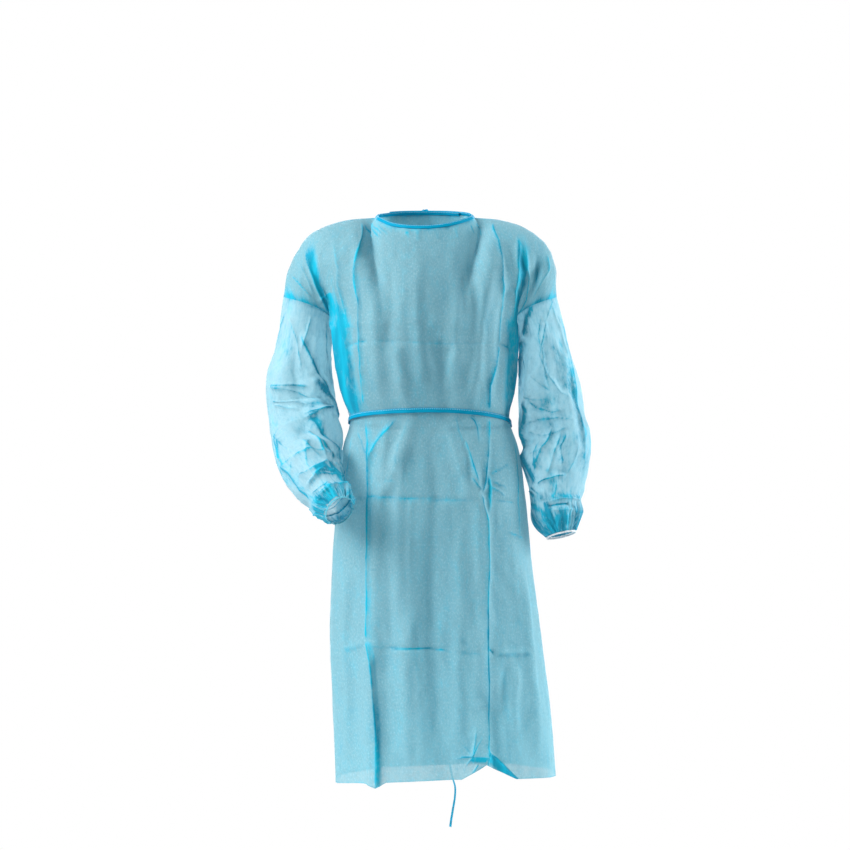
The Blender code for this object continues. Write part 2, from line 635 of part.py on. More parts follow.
def build_belt():
    """The waist belt: a folded strip round the waist, lying on the panels' own points."""
    left = BACK_LEFT_SHARES[BACK_LEFT_SHARES < BACK_LEFT_SHARES[-1]]
    right = BACK_RIGHT_SHARES[(BACK_RIGHT_SHARES < -LAP_SHARE - 0.02) & (BACK_RIGHT_SHARES > -EDGE)]
    back_left = belt_line("back", left, lap_shift(left))
    back_right = belt_line("back", right)
    ring = np.concatenate([belt_line("front", FRONT_SHARES), back_left[::-1], back_right[::-1]])
    run = np.roll(ring, -1, 0) - np.roll(ring, 1, 0)
    up = np.array([0.0, 0.0, 1.0])
    out = np.cross(run, up)
    out /= np.linalg.norm(out, axis=1, keepdims=True)
    ring = ring + out * (WALL / 2 + TAPE / 2 + BELT_CLEAR)
    ring = np.concatenate([ring, ring[:1]])
    out = np.concatenate([out, out[:1]])
    strip("waist_belt", ring, np.tile(up * BELT_WIDTH / 2, (len(ring), 1)), out * TAPE / 2, True)


def neck_line():
    """The panels' own points along the neckline and the way down from them, round from back to back."""
    right, front, left = -BACK_NECK_SHARES[::-1], FRONT_NECK_SHARES, BACK_NECK_SHARES
    rows = np.array([0.0, EDGE_STEP])
    grids = [
        body_grid("back", right, rows)[::-1],
        body_grid("front", front, rows),
        body_grid("back", left, rows, lap_shift(left))[::-1],
    ]
    grid = np.concatenate(grids)
    return grid[:, 0], grid[:, 1] - grid[:, 0]


def build_binding():
    """The neck binding: a folded strip that stands on the neckline's edge."""
    line, down = neck_line()
    run = np.gradient(line, axis=0)
    run /= np.linalg.norm(run, axis=1, keepdims=True)
    up = -(down - run * np.sum(down * run, axis=1, keepdims=True))
    for _ in range(3):
        up[1:-1] = (up[:-2] + up[1:-1] * 2 + up[2:]) / 4
    up /= np.linalg.norm(up, axis=1, keepdims=True)
    out = np.cross(run, up)
    out /= np.linalg.norm(out, axis=1, keepdims=True)
    middle = line + up * (BINDING_WIDTH / 2 + SEAM * 2)
    strip("neck_binding", middle, up * BINDING_WIDTH / 2, out * BINDING_THICKNESS / 2, False)


def build_knot(name, centre):
    """A small pulled knot that sits on its strip."""
    bm = bmesh.new()
    bmesh.ops.create_uvsphere(bm, u_segments=12, v_segments=7, radius=0.5)
    bmesh.ops.scale(bm, vec=Vector(KNOT_SIZE), verts=bm.verts)
    bmesh.ops.translate(bm, vec=Vector(centre), verts=bm.verts)
    mesh = bpy.data.meshes.new(name)
    bm.to_mesh(mesh)
    bm.free()
    mesh.shade_smooth()
    placed(name, mesh, TAPE_COLOUR)


def build_tail(name, route):
    """A loose end: a thin round strip along a smooth curve through its route."""
    length = np.sum(np.linalg.norm(np.diff(np.array(route), axis=0), axis=1))
    count = round(length / TAIL_STEP) + 1
    curve = bpy.data.curves.new(name, "CURVE")
    curve.dimensions = "3D"
    curve.bevel_depth = TAIL_RADIUS
    curve.bevel_resolution = 2
    curve.use_fill_caps = True
    spline = curve.splines.new("POLY")
    spline.points.add(count - 1)
    for k in range(count):
        spline.points[k].co = (*along_table(route, k / (count - 1)), 1.0)
    placed(name, curve, TAPE_COLOUR)


def build_body():
    """The front panel and the two back panels that lap at the middle of the back."""
    cloth("front_panel", body_grid("front", FRONT_SHARES, BODY_ROWS))
    cloth("back_panel_right", body_grid("back", BACK_RIGHT_SHARES, BODY_ROWS))
    left = BACK_LEFT_SHARES
    cloth("back_panel_left", body_grid("back", left, BODY_ROWS, lap_shift(left)))


def build_sleeves():
    """Both sleeves with their elastic cuffs."""
    for side in ("right", "left"):
        cloth(f"sleeve_{side}", sleeve_points(side), closed=True)
        cloth(f"cuff_{side}", cuff_points(side), closed=True)
        cloth(f"cuff_elastic_{side}", elastic_points(side), ELASTIC_COLOUR, closed=True, thickness=TAPE)


def build_ties():
    """The neck binding with its ties, and the belt with its knot and loose ends."""
    build_binding()
    build_belt()
    build_knot("neck_knot", NECK_KNOT)
    build_knot("belt_knot", BELT_KNOT)
    build_tail("neck_tail_right", NECK_TAIL_RIGHT)
    build_tail("neck_tail_left", NECK_TAIL_LEFT)
    build_tail("belt_tail_short", BELT_TAIL_SHORT)
    build_tail("belt_tail_long", BELT_TAIL_LONG)


def main():
    """Clears the scene and builds every piece of the gown."""
    for obj in list(bpy.data.objects):
        bpy.data.objects.remove(obj)
    build_body()
    build_sleeves()
    build_ties()


main()
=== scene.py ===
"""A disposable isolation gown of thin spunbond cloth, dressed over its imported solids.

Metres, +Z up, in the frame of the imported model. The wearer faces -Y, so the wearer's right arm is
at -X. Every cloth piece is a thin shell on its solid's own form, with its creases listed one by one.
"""

import logging
import math
from dataclasses import dataclass
from enum import Enum
from typing import Any, Callable, ClassVar, NamedTuple, Sequence

import bmesh
import bpy
import numpy as np
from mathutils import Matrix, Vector


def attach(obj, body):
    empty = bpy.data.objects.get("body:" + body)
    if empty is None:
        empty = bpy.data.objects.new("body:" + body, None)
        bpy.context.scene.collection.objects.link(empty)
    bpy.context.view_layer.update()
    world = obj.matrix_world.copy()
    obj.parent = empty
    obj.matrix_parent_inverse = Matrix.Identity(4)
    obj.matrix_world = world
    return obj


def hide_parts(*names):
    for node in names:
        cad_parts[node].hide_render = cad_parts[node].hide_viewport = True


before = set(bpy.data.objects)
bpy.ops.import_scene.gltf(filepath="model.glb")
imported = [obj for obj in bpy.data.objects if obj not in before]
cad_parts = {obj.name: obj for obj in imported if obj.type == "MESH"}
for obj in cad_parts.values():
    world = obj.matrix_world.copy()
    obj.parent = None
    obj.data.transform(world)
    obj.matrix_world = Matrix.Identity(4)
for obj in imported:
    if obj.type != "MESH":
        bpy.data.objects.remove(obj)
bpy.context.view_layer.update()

log = logging.getLogger("gown")

Array = np.ndarray
Grid = np.ndarray  # points as columns, rows, 3
Material = bpy.types.Material
Flat = tuple[float, float]
Colour = tuple[float, float, float, float]
Spots = tuple[tuple[float, float, float], ...]  # centre, half width and extra density


class Side(Enum):
    """The wearer's right or left."""

    RIGHT = "right"
    LEFT = "left"


class Face(Enum):
    """The front or the back half of the gown's body."""

    FRONT = "front"
    BACK = "back"


class Point(NamedTuple):
    """A place in the gown's frame."""

    x: float
    y: float
    z: float


class Section(NamedTuple):
    """A level cut of the gown's body: widest points, side tuck, reach, squareness."""

    level: float
    right: float
    left: float
    tuck: float
    front: float
    back: float
    square: float


class Arm(NamedTuple):
    """A cut of a sleeve: its centre and its half sizes."""

    x: float
    y: float
    z: float
    across: float
    fore_aft: float


class Armhole(NamedTuple):
    """Where an armhole seam ends under the arm, and its reach to the front and back."""

    under_x: float
    under_z: float
    front: float
    back: float


class Fold(NamedTuple):
    """A broad fold of a body panel: shares at both ends, levels, half width and height."""

    upper: float
    lower: float
    start: float
    stop: float
    spread: float
    height: float


class Ruck(NamedTuple):
    """A broad fold of a sleeve: turn and place of both ends, half width and height."""

    turn_a: float
    place_a: float
    turn_b: float
    place_b: float
    spread: float
    height: float


def table(kind: Any, *rows: tuple[float, ...]) -> tuple[Any, ...]:
    """Rows of plain numbers as named tuples of one kind."""
    return tuple(kind(*row) for row in rows)


# The gown's own sizes, as in its solids
WALL = 0.0015
TAPE = 0.0016
BELT_WIDTH = 0.009
BINDING_WIDTH = 0.008
LAP_SHIFT = 0.0042
GOWN_LENGTH = 1.100
HEM_FRONT_LIFT = 0.026
HEM_LEFT_LIFT = 0.012
NECK_SHARE = 0.30
LAP_SHARE = 0.16
LAP_FADE = (0.01, 0.12)
UNDERARM_LEVEL = -0.220
V_UNDERARM = 0.24
V_BELT = 0.42
BELT_ROW = 0.0065
BELT_CLEAR = 0.0006
WELD = 1e-5
UP = np.array([0.0, 0.0, 1.0])

NECK_FRONT = table(
    Point, (-.0965, 0, -.007), (-.09, -.04, -.016), (-.062, -.072, -.03), (-.018, -.088, -.036),
    (.028, -.086, -.034), (.066, -.069, -.025), (.09, -.039, -.014), (.0965, 0, -.007),
)
NECK_BACK = table(
    Point, (-.0965, 0, -.007), (-.088, .034, -.002), (-.052, .061, .004), (0, .071, .006), (.052, .061, .004),
    (.088, .034, -.002), (.0965, 0, -.007),
)
SHOULDERS = {
    Side.RIGHT: table(
        Point, (-.0965, 0, -.007), (-.153, .001, -.012), (-.2, .003, -.027), (-.228, .004, -.044),
        (-.25, .005, -.073), (-.267, .006, -.11), (-.276, .008, -.16),
    ),
    Side.LEFT: table(
        Point, (.0965, 0, -.007), (.15, .001, -.012), (.196, .003, -.027), (.221, .004, -.045),
        (.244, .005, -.073), (.253, .006, -.11), (.257, .008, -.16),
    ),
}
ARMHOLES = {
    Side.RIGHT: Armhole(-0.174, UNDERARM_LEVEL, 0.082, 0.080),
    Side.LEFT: Armhole(0.168, UNDERARM_LEVEL, 0.078, 0.078),
}
BODY = table(
    Section, (-.22, -.178, .172, .004, .146, .128, 2.5), (-.3, -.171, .169, .006, .14, .12, 2.5),
    (-.36, -.16, .167, .004, .13, .108, 2.4), (-.408, -.147, .166, 0, .121, .102, 2.3),
    (-.45, -.159, .18, 0, .126, .11, 2.3), (-.56, -.172, .196, 0, .141, .13, 2.4),
    (-.7, -.181, .21, 0, .152, .146, 2.4), (-.83, -.185, .227, 0, .16, .155, 2.4),
    (-.95, -.18, .243, 0, .166, .16, 2.4), (-1.12, -.173, .257, 0, .172, .166, 2.4),
)
ARMS = {
    Side.RIGHT: table(
        Arm, (-.239, .01, -.268, .054, .076), (-.244, .014, -.328, .065, .07), (-.24, .01, -.385, .067, .068),
        (-.231, -.022, -.44, .066, .063), (-.219, -.08, -.487, .061, .057), (-.199, -.134, -.524, .049, .047),
        (-.184, -.162, -.543, .038, .038), (-.171, -.182, -.557, .04, .04), (-.16, -.198, -.568, .029, .03),
    ),
    Side.LEFT: table(
        Arm, (.232, .01, -.268, .049, .074), (.24, .014, -.326, .059, .068), (.247, .012, -.38, .063, .066),
        (.255, .004, -.44, .065, .063), (.252, -.006, -.49, .061, .058), (.2515, -.015, -.53, .051, .05),
        (.252, -.021, -.56, .048, .046), (.256, -.027, -.59, .048, .046), (.263, -.034, -.621, .029, .03),
    ),
}
CUFF_START = 0.78
WRAPS = (-360, 0, 360)  # a crease on a tube also shows one turn on and one turn back

FRONT_FOLDS = table(
    Fold, (-.35, -.42, -.05, -1.2, .05, .0055), (-.44, -.46, -.8, -1.3, .06, .012),
    (.49, .34, -.05, -.44, .05, .005), (.34, .33, -.44, -.86, .05, .006), (.33, .33, -.88, -1.3, .07, -.012),
    (-.8, -.84, -.1, -.42, .07, .009), (.82, .86, -.08, -.42, .07, .009), (-.62, -.58, -.12, -.4, .06, -.006),
    (.64, .6, -.12, -.4, .06, -.006), (-.22, -.16, -.25, -.42, .06, .007), (.17, .16, -.24, -.42, .06, -.006),
    (-.14, -.36, -.39, -.56, .055, .0065), (.14, .3, -.39, -.58, .055, .0065),
    (.02, .06, -.62, -1.3, .13, -.0075), (.62, .68, -.6, -1.3, .09, .008), (-.72, -.76, -.62, -1.3, .08, .006),
)
BACK_FOLDS = table(
    Fold, (-.52, -.5, -.06, -.44, .07, .007), (.5, .48, -.06, -.44, .07, .007),
    (-.36, -.4, -.4, -1.3, .08, .009), (.38, .44, -.4, -1.3, .08, .009), (-.7, -.72, -.5, -1.3, .08, .008),
    (.72, .74, -.5, -1.3, .08, .008), (-.28, -.26, -.25, -.42, .06, -.005), (.3, .26, -.25, -.42, .06, -.005),
)
SLEEVE_FOLDS = {
    Side.RIGHT: table(
        Ruck, (60, .1, 95, .38, .05, .0065), (105, .28, 170, .4, .045, .0075), (70, .45, 165, .43, .04, -.008),
        (55, .52, 145, .5, .04, .007), (20, .46, -20, .7, .055, .006), (-60, .26, -110, .62, .06, .0065),
    ),
    Side.LEFT: table(
        Ruck, (115, .06, 150, .34, .045, .0065), (75, .1, 25, .3, .045, -.006),
        (120, .38, 180, .45, .04, -.008), (150, .46, 105, .68, .045, .007), (10, .38, -10, .7, .055, .006),
        (-70, .22, -100, .64, .06, .007),
    ),
}

# Loose ends of the ties, in the solids' own routes
BELT_TAIL_LONG = table(
    Point, (.0037, .1184, -.4239), (.008, .1235, -.436), (.011, .13, -.453), (.014, .139, -.485),
    (.018, .148, -.525), (.022, .156, -.58), (.026, .164, -.65), (.029, .17, -.72), (.031, .1745, -.79),
    (.033, .178, -.86), (.036, .181, -.93), (.04, .184, -1), (.045, .186, -1.06), (.05, .1875, -1.1),
    (.056, .1875, -1.13), (.0615, .187, -1.15), (.061, .1865, -1.17), (.057, .186, -1.195), (.053, .186, -1.22),
    (.0516, .186, -1.231),
)
BELT_TAIL_SHORT = table(
    Point, (-.0037, .1184, -.4239), (-.0085, .1235, -.437), (-.012, .13, -.455), (-.016, .139, -.487),
    (-.02, .148, -.527), (-.024, .156, -.582), (-.027, .164, -.65), (-.028, .17, -.715), (-.028, .1745, -.78),
    (-.027, .178, -.84), (-.027, .181, -.895), (-.029, .1835, -.94), (-.032, .185, -.97), (-.034, .1855, -.985),
)
NECK_TAIL_LEFT = table(
    Point, (.0038, .0823, .0068), (.0085, .09, -.004), (.0115, .099, -.02), (.014, .1075, -.04),
    (.017, .115, -.065), (.02, .1225, -.095), (.022, .1285, -.125), (.023, .133, -.155), (.023, .136, -.185),
    (.022, .1375, -.21), (.021, .138, -.235),
)
NECK_TAIL_RIGHT = table(
    Point, (-.0038, .0823, .0068), (-.009, .09, -.004), (-.0125, .099, -.02), (-.016, .1075, -.04),
    (-.02, .115, -.065), (-.024, .1225, -.095), (-.027, .1285, -.125), (-.029, .133, -.155), (-.03, .136, -.18),
    (-.031, .1375, -.2), (-.032, .138, -.215),
)
BELT_KNOT = Point(0.000, 0.1158, -0.418)
NECK_KNOT = Point(0.000, 0.0799, 0.0125)


def smooth_step(low: float, high: float, value: Any) -> Array:
    """0 below low, 1 above high, and a smooth rise between them."""
    share = np.clip((np.asarray(value, float) - low) / (high - low), 0, 1)
    return share * share * (3 - 2 * share)


def unit(vectors: Array) -> Array:
    """The vectors at length 1."""
    return vectors / np.maximum(np.linalg.norm(vectors, axis=-1, keepdims=True), 1e-12)


def bell(away: Array, width: float, power: float = 2) -> Array:
    """1 at 0, and nearly 0 past two widths from it."""
    return np.exp(-((away / width) ** power))


def lengths_of(points: Any) -> Array:
    """How far each point lies along its line."""
    return np.concatenate([[0], np.cumsum(np.linalg.norm(np.diff(np.array(points), axis=0), axis=1))])


def through(knots: Array, values: Array, places: Any) -> Array:
    """A smooth curve through values at rising knots.

    Args:
        knots: Where each value stands.
        values: One row for each knot.
        places: Where the curve is read.

    Returns:
        One row for each place.
    """
    knots, values = np.asarray(knots, float), np.asarray(values, float)
    slopes = np.gradient(values, knots, axis=0)
    place = np.clip(np.asarray(places, float), knots[0], knots[-1])
    i = np.clip(np.searchsorted(knots, place) - 1, 0, len(knots) - 2)
    gap = (knots[i + 1] - knots[i])[..., None]
    t = (place - knots[i])[..., None] / gap
    ends = values[i] * (1 + 2 * t) * (1 - t) ** 2 + values[i + 1] * t * t * (3 - 2 * t)
    return ends + slopes[i] * gap * t * (1 - t) ** 2 - slopes[i + 1] * gap * t * t * (1 - t)


def along_table(rows: Sequence[Point], shares: Any) -> Array:
    """Points of a smooth curve through a table's rows.

    Args:
        rows: The places that the curve passes.
        shares: Places from 0 to 1 of its length.

    Returns:
        One point for each share.
    """
    lengths = lengths_of(rows)
    return through(lengths / lengths[-1], rows, shares)


def along_line(points: Array, shares: Array) -> Array:
    """Points at even steps of a line's length.

    Args:
        points: The line.
        shares: Places on it, from -1 at its start to 1 at its end.

    Returns:
        One point for each share.
    """
    lengths = lengths_of(points)
    at = (np.asarray(shares) + 1) / 2 * lengths[-1]
    return np.stack([np.interp(at, lengths, points[:, k]) for k in range(3)], axis=-1)


def bezier(a: Array, b: Array, c: Array, d: Array, t: Array) -> Array:
    """The points at t on the cubic curves from a to d with handles at b and c."""
    s = 1 - t
    return a * s**3 + 3 * b * s * s * t + 3 * c * s * t * t + d * t**3


def crowded(low: float, high: float, count: int, spots: Spots) -> Array:
    """Rising numbers that stand closer together round some spots.

    Args:
        low: The first number.
        high: The last number.
        count: How many numbers.
        spots: Centre, half width and extra density of each spot.

    Returns:
        The numbers.
    """
    fine = np.linspace(low, high, 4000)
    density = np.ones(fine.shape)
    for centre, width, extra in spots:
        density += extra * bell(fine - centre, width)
    total = np.concatenate([[0], np.cumsum((density[1:] + density[:-1]) / 2)])
    return np.interp(np.linspace(0, total[-1], count), total, fine)


MIXERS = (127.1, 311.7, 74.7, 43758.5453)  # the usual numbers of such a noise


def value_noise(x: Array, y: Array, seed: float, wrap: int = 0) -> Array:
    """Smooth noise from -1 to 1 on a lattice of whole numbers.

    Args:
        x: Places across.
        y: Places down.
        seed: Picks the pattern.
        wrap: After how many steps across the pattern meets itself, or 0.

    Returns:
        The noise at each place.
    """
    x, y = np.broadcast_arrays(np.asarray(x, float), np.asarray(y, float))
    i, j = np.floor(x), np.floor(y)
    u, v = x - i, y - j
    u, v = u * u * (3 - 2 * u), v * v * (3 - 2 * v)

    by_x, by_y, by_seed, gain = MIXERS

    def corner(a: Array, b: Array) -> Array:
        """The number that stands at a corner of the lattice."""
        mixed = np.sin((np.mod(a, wrap) if wrap else a) * by_x + b * by_y + seed * by_seed) * gain
        return (mixed - np.floor(mixed)) * 2 - 1

    upper = corner(i, j) * (1 - u) + corner(i + 1, j) * u
    lower = corner(i, j + 1) * (1 - u) + corner(i + 1, j + 1) * u
    return upper * (1 - v) + lower * v


@dataclass(frozen=True)
class Crease:
    """A crease along a line of places, each across and down the cloth, in millimetres.

    A ridge has a height above 0 and a trough one below. reach is how far it spreads, as a pressed
    line, or as a swell where it is soft. line is how strongly deep colour is laid along it and thread
    how wide: the double layer of a fold, and painted shade in the crease. band is the width of deep
    colour beside it and shade its strength: painted shade beside the crease, and the double layer of
    a fold that lies over. A band above 0 lies on the right hand of the run on the body, and one below
    0 on its left hand.
    ends are the shares of the length over which it fades, one for each end or for both.
    """

    points: tuple[float, ...]
    height: float
    reach: float
    line: float = 0.0
    band: float = 0.0
    shade: float = 0.5
    ends: Flat | float = 0.2
    thread: float = 2.2
    soft: bool = False

    RISE: ClassVar[float] = 1.3  # strength of every lift
    INK: ClassVar[float] = 1.9  # strength of every line
    MARGINS: ClassVar[tuple[float, ...]] = (3.2, 1.6, 3.0)  # in reaches, bands and threads
    BAND_FADE: ClassVar[Flat] = (0.55, 1.15)  # where a band thins out, in its widths
    BAND_EDGE: ClassVar[float] = 0.002  # how fast it stops at the crease

    def lay(self, across: Array, down: Array) -> tuple[Array, Array]:
        """What the crease does to the cloth.

        Args:
            across: Each point's place across the cloth in metres.
            down: Each point's place down the cloth.

        Returns:
            The lift in metres, and the share of deep colour at each point: cloth lying double and painted shade.
        """
        lift, doubled_and_shaded = np.zeros(across.shape), np.zeros(across.shape)
        height, reach, band, thread = (v / 1000 for v in (self.height, self.reach, self.band, self.thread))
        spots = np.array(self.points).reshape(-1, 2) / 1000
        margin = max(size * times for size, times in zip((reach, abs(band), thread), self.MARGINS))
        near = (
            (across > spots[:, 0].min() - margin) & (across < spots[:, 0].max() + margin)
            & (down > spots[:, 1].min() - margin) & (down < spots[:, 1].max() + margin)
        )
        if not near.any():
            return lift, doubled_and_shaded
        x, y = across[near], down[near]
        starts = lengths_of(spots)
        best = np.full(x.shape, np.inf)
        signed, place = np.zeros(x.shape), np.zeros(x.shape)
        for (ax, ay), (bx, by), start, stop in zip(spots[:-1], spots[1:], starts[:-1], starts[1:]):
            run = stop - start
            dx, dy = (bx - ax) / run, (by - ay) / run
            t = np.clip((x - ax) * dx + (y - ay) * dy, 0, run)
            ox, oy = x - ax - t * dx, y - ay - t * dy
            away = np.hypot(ox, oy)
            closer = away < best
            best = np.where(closer, away, best)
            signed = np.where(closer, ox * dy - oy * dx, signed)
            place = np.where(closer, (start + t) / starts[-1], place)
        first, last = (max(end, 1e-3) for end in np.broadcast_to(self.ends, 2))
        taper = smooth_step(0, first, place) * (1 - smooth_step(1 - last, 1, place))
        lift[near] = height * self.RISE * taper * bell(best, reach, 2 if self.soft else 1)
        # Deep colour along and beside the crease: the fold's double layer and painted shade
        mark = min(self.line * self.INK, 1.0) * bell(best, thread)
        if band:
            beside = signed / band
            wide = np.where(beside > 0, 1 - smooth_step(*self.BAND_FADE, beside), bell(beside * band, self.BAND_EDGE))
            mark = np.maximum(mark, self.shade * wide * (best < abs(band) * self.MARGINS[1]))
        doubled_and_shaded[near] = mark * taper
        return lift, doubled_and_shaded


def lay_all(creases: Sequence[Crease], across: Array, down: Array) -> tuple[Array, Array]:
    """Lays many creases.

    Args:
        creases: The creases.
        across: Each point's place across the cloth in metres.
        down: Each point's place down the cloth.

    Returns:
        Their lifts added up, and the strongest share of deep colour at each point, for cloth lying double and painted
        shade.
    """
    lift, doubled_and_shaded = np.zeros(across.shape), np.zeros(across.shape)
    for crease in creases:
        rise, mark = crease.lay(across, down)
        lift += rise
        doubled_and_shaded = np.maximum(doubled_and_shaded, mark)
    return lift, doubled_and_shaded


class Socket:
    """A shader socket that Python's operators work on."""

    def __init__(self, bench: "Bench", socket: bpy.types.NodeSocket) -> None:
        """Wraps the socket of a node on the bench."""
        self.bench, self.socket = bench, socket

    def __add__(self, other: Any) -> "Socket":
        """This value plus the other."""
        return self.bench.math("ADD", self, other)

    def __sub__(self, other: Any) -> "Socket":
        """This value less the other."""
        return self.bench.math("SUBTRACT", self, other)

    def __rsub__(self, other: Any) -> "Socket":
        """The other value less this one."""
        return self.bench.math("SUBTRACT", other, self)

    def __mul__(self, other: Any) -> "Socket":
        """This value times the other."""
        return self.bench.math("MULTIPLY", self, other)

    __radd__ = __add__
    __rmul__ = __mul__


class Bench:
    """Where the nodes of one material, or of the surround, are made and joined."""

    def __init__(self, owner: bpy.types.Material | bpy.types.World) -> None:
        """Empties the owner's tree.

        Args:
            owner: What the nodes are for.
        """
        owner.use_nodes = True
        self.owner, self.tree = owner, owner.node_tree
        self.tree.nodes.clear()

    def node(self, kind: str, settings: dict[str, Any] | None = None,
             inputs: dict[Any, Any] | None = None) -> bpy.types.Node:
        """A new node.

        Args:
            kind: The node's type.
            settings: Its own settings, which are set first.
            inputs: Values or links of its sockets, by name or number.

        Returns:
            The node.
        """
        made = self.tree.nodes.new(kind)
        for key, value in (settings or {}).items():
            setattr(made, key, value)
        for key, value in (inputs or {}).items():
            if isinstance(value, Socket):
                self.tree.links.new(value.socket, made.inputs[key])
            else:
                made.inputs[key].default_value = value
        return made

    def out(self, node: bpy.types.Node, socket: Any = 0) -> Socket:
        """One of a node's outputs, ready for arithmetic."""
        return Socket(self, node.outputs[socket])

    def math(self, operation: str, *values: Any, clamp: bool = False) -> Socket:
        """A Math node on values and sockets."""
        return self.out(self.node("ShaderNodeMath", {"operation": operation, "use_clamp": clamp},
                                  dict(enumerate(values))))

    def clamp(self, value: Socket) -> Socket:
        """The value held between 0 and 1."""
        return self.math("ADD", value, 0.0, clamp=True)

    def between(self, value: Socket, low: float, high: float) -> Socket:
        """The value's smooth way from low to high, as a number from 0 to 1."""
        return self.out(self.node("ShaderNodeMapRange", {"interpolation_type": "SMOOTHSTEP"},
                                  {0: value, 1: low, 2: high}))

    def wave(self, value: Socket, step: float) -> Socket:
        """A sine that repeats after each step."""
        return self.math("SINE", value * (2 * math.pi / step))

    def colour(self, factor: Any, first: Any, second: Any) -> Socket:
        """A mix of two colours."""
        return self.out(self.node("ShaderNodeMix", {"data_type": "RGBA"}, {0: factor, 6: first, 7: second}), 2)

    def chart(self) -> tuple[Socket, Socket, Socket]:
        """The piece's own map in metres, and its two numbers."""
        chart = self.out(self.node("ShaderNodeUVMap", {"uv_map": "cloth"}))
        parts = self.node("ShaderNodeSeparateXYZ", None, {0: chart})
        return chart, self.out(parts, 0), self.out(parts, 1)

    def grain(self, chart: Socket, scale: Flat, detail: float, roughness: float = 0.5) -> Socket:
        """Noise from 0 to 1; scale is its bumps for each metre along the chart's two ways."""
        drawn = self.node("ShaderNodeVectorMath", {"operation": "MULTIPLY"}, {0: chart, 1: (*scale, 1.0)})
        return self.out(self.node("ShaderNodeTexNoise", None, {
            "Vector": self.out(drawn), "Scale": 1.0, "Detail": detail, "Roughness": roughness}))

    def bump(self, strength: float, distance: float, height: Socket) -> Socket:
        """The surface's direction where a height roughens it, with its greatest rise in metres."""
        return self.out(self.node("ShaderNodeBump", None, {
            "Strength": strength, "Distance": distance, "Height": height}))

    def body(self, **inputs: Any) -> Socket:
        """The plain surface shader; an underscore stands for a blank in a socket's name."""
        return self.out(self.node("ShaderNodeBsdfPrincipled", None, {
            key.replace("_", " "): value for key, value in inputs.items()}))

    def lit(self, share: Any, body: Socket, glow: Colour) -> Socket:
        """A share of a surface that light from behind shines through."""
        behind = self.out(self.node("ShaderNodeBsdfTranslucent", None, {"Color": glow}))
        return self.out(self.node("ShaderNodeMixShader", None, {0: share, 1: body, 2: behind}))

    def finish(self, shader: Socket) -> Any:
        """Joins the shader to the output and hands over the material or world."""
        self.node("ShaderNodeOutput" + self.owner.id_type.capitalize(), None, {"Surface": shader})
        return self.owner


def material_bench(name: str) -> Bench:
    """The bench of a new material."""
    return Bench(bpy.data.materials.new(name))


@dataclass(frozen=True)
class Spunbond:
    """Thin spunbond cloth: pale and see-through in one layer, deep cyan where it lies double and where shade is
    painted in.
    """

    name: str
    # pale is darker here than in the sleeves' copy: painted shade for the dim torso
    pale: Colour = (0.235, 0.41, 0.46, 1.0)
    deep: Colour = (0.001, 0.37, 0.53, 1.0)
    dark: Colour = (0.001, 0.23, 0.36, 1.0)  # darker random patches of the deep colour, on cloth lying double and on painted shade
    fluff: Colour = (0.50, 0.78, 0.87, 1.0)  # raised fibres
    glow: Colour = (0.09, 0.43, 0.54, 1.0)  # light from behind
    cover: float = 0.78  # alpha of one plain layer
    covered: float = 1.12  # and where the deep share is full, for cloth lying double and painted shade alike, past 1 so that it closes
    through: float = 0.30  # share of the light that comes from behind
    mottle: float = 0.95  # how uneven the fibres lie
    rough: float = 0.62
    streaks: Flat = (165.0, 72.0)  # each noise's bumps for a metre, across and down
    clouds: Flat = (30.0, 17.0)
    patches: Flat = (38.0, 7.0)
    fibres: Flat = (1150.0, 520.0)
    fuzz: Flat = (340.0, 210.0)
    bonds: Flat = (0.0026, 0.0030)  # steps of the bonded grid in metres

    def make(self) -> Material:
        """Builds the material on the cloth's own map.

        Returns:
            The material.
        """
        b = material_bench(self.name)
        chart, run_across, run_down = b.chart()
        doubled_and_shaded = b.out(b.node("ShaderNodeAttribute", {"attribute_name": "doubled_and_shaded"}), "Fac")
        streak = b.grain(chart, self.streaks, 4.0, 0.65)
        cloud = b.grain(chart, self.clouds, 2.0)
        fibre = b.grain(chart, self.fibres, 2.0, 0.7)
        fuzz = b.grain(chart, self.fuzz, 4.0, 0.7)
        patch = b.between(b.grain(chart, self.patches, 1.0), 0.36, 0.64)
        bond = b.between(b.wave(run_across, self.bonds[0]) * b.wave(run_down, self.bonds[1]), 0.55, 0.95)
        even = (streak - 0.5) * 1.30 + (cloud - 0.5) * 0.85 + (fuzz - 0.5) * 0.50
        # The mesh's deep share, painted shade included, plus random mottle, sets how deep the colour is
        deepening = b.clamp(doubled_and_shaded * (0.62 + cloud * 0.85) + even * self.mottle + 0.07)
        tone = b.colour(deepening, self.pale, b.colour(patch, self.deep, self.dark))
        tone = b.colour(b.clamp((fuzz - 0.52) * 2.2) * (1 - doubled_and_shaded), tone, self.fluff)
        tone = b.colour(b.clamp((0.46 - fuzz) * 2.6), tone, self.deep)
        tone = b.colour(bond * 0.25, tone, self.deep)
        body = b.body(
            Base_Color=tone,
            Roughness=b.clamp(self.rough + (fuzz - 0.5) * 0.25),
            Alpha=b.clamp(self.cover + even * 0.34 + doubled_and_shaded * (self.covered - self.cover) + bond * 0.10),
            Specular_IOR_Level=0.10,
            Sheen_Weight=0.05,
            Sheen_Roughness=0.45,
            Normal=b.bump(0.35, 0.0006, fibre * 0.5 + fuzz * 0.9 + bond * -0.5),
        )
        return b.finish(b.lit(self.through * (1 - deepening * 0.80), body, self.glow))


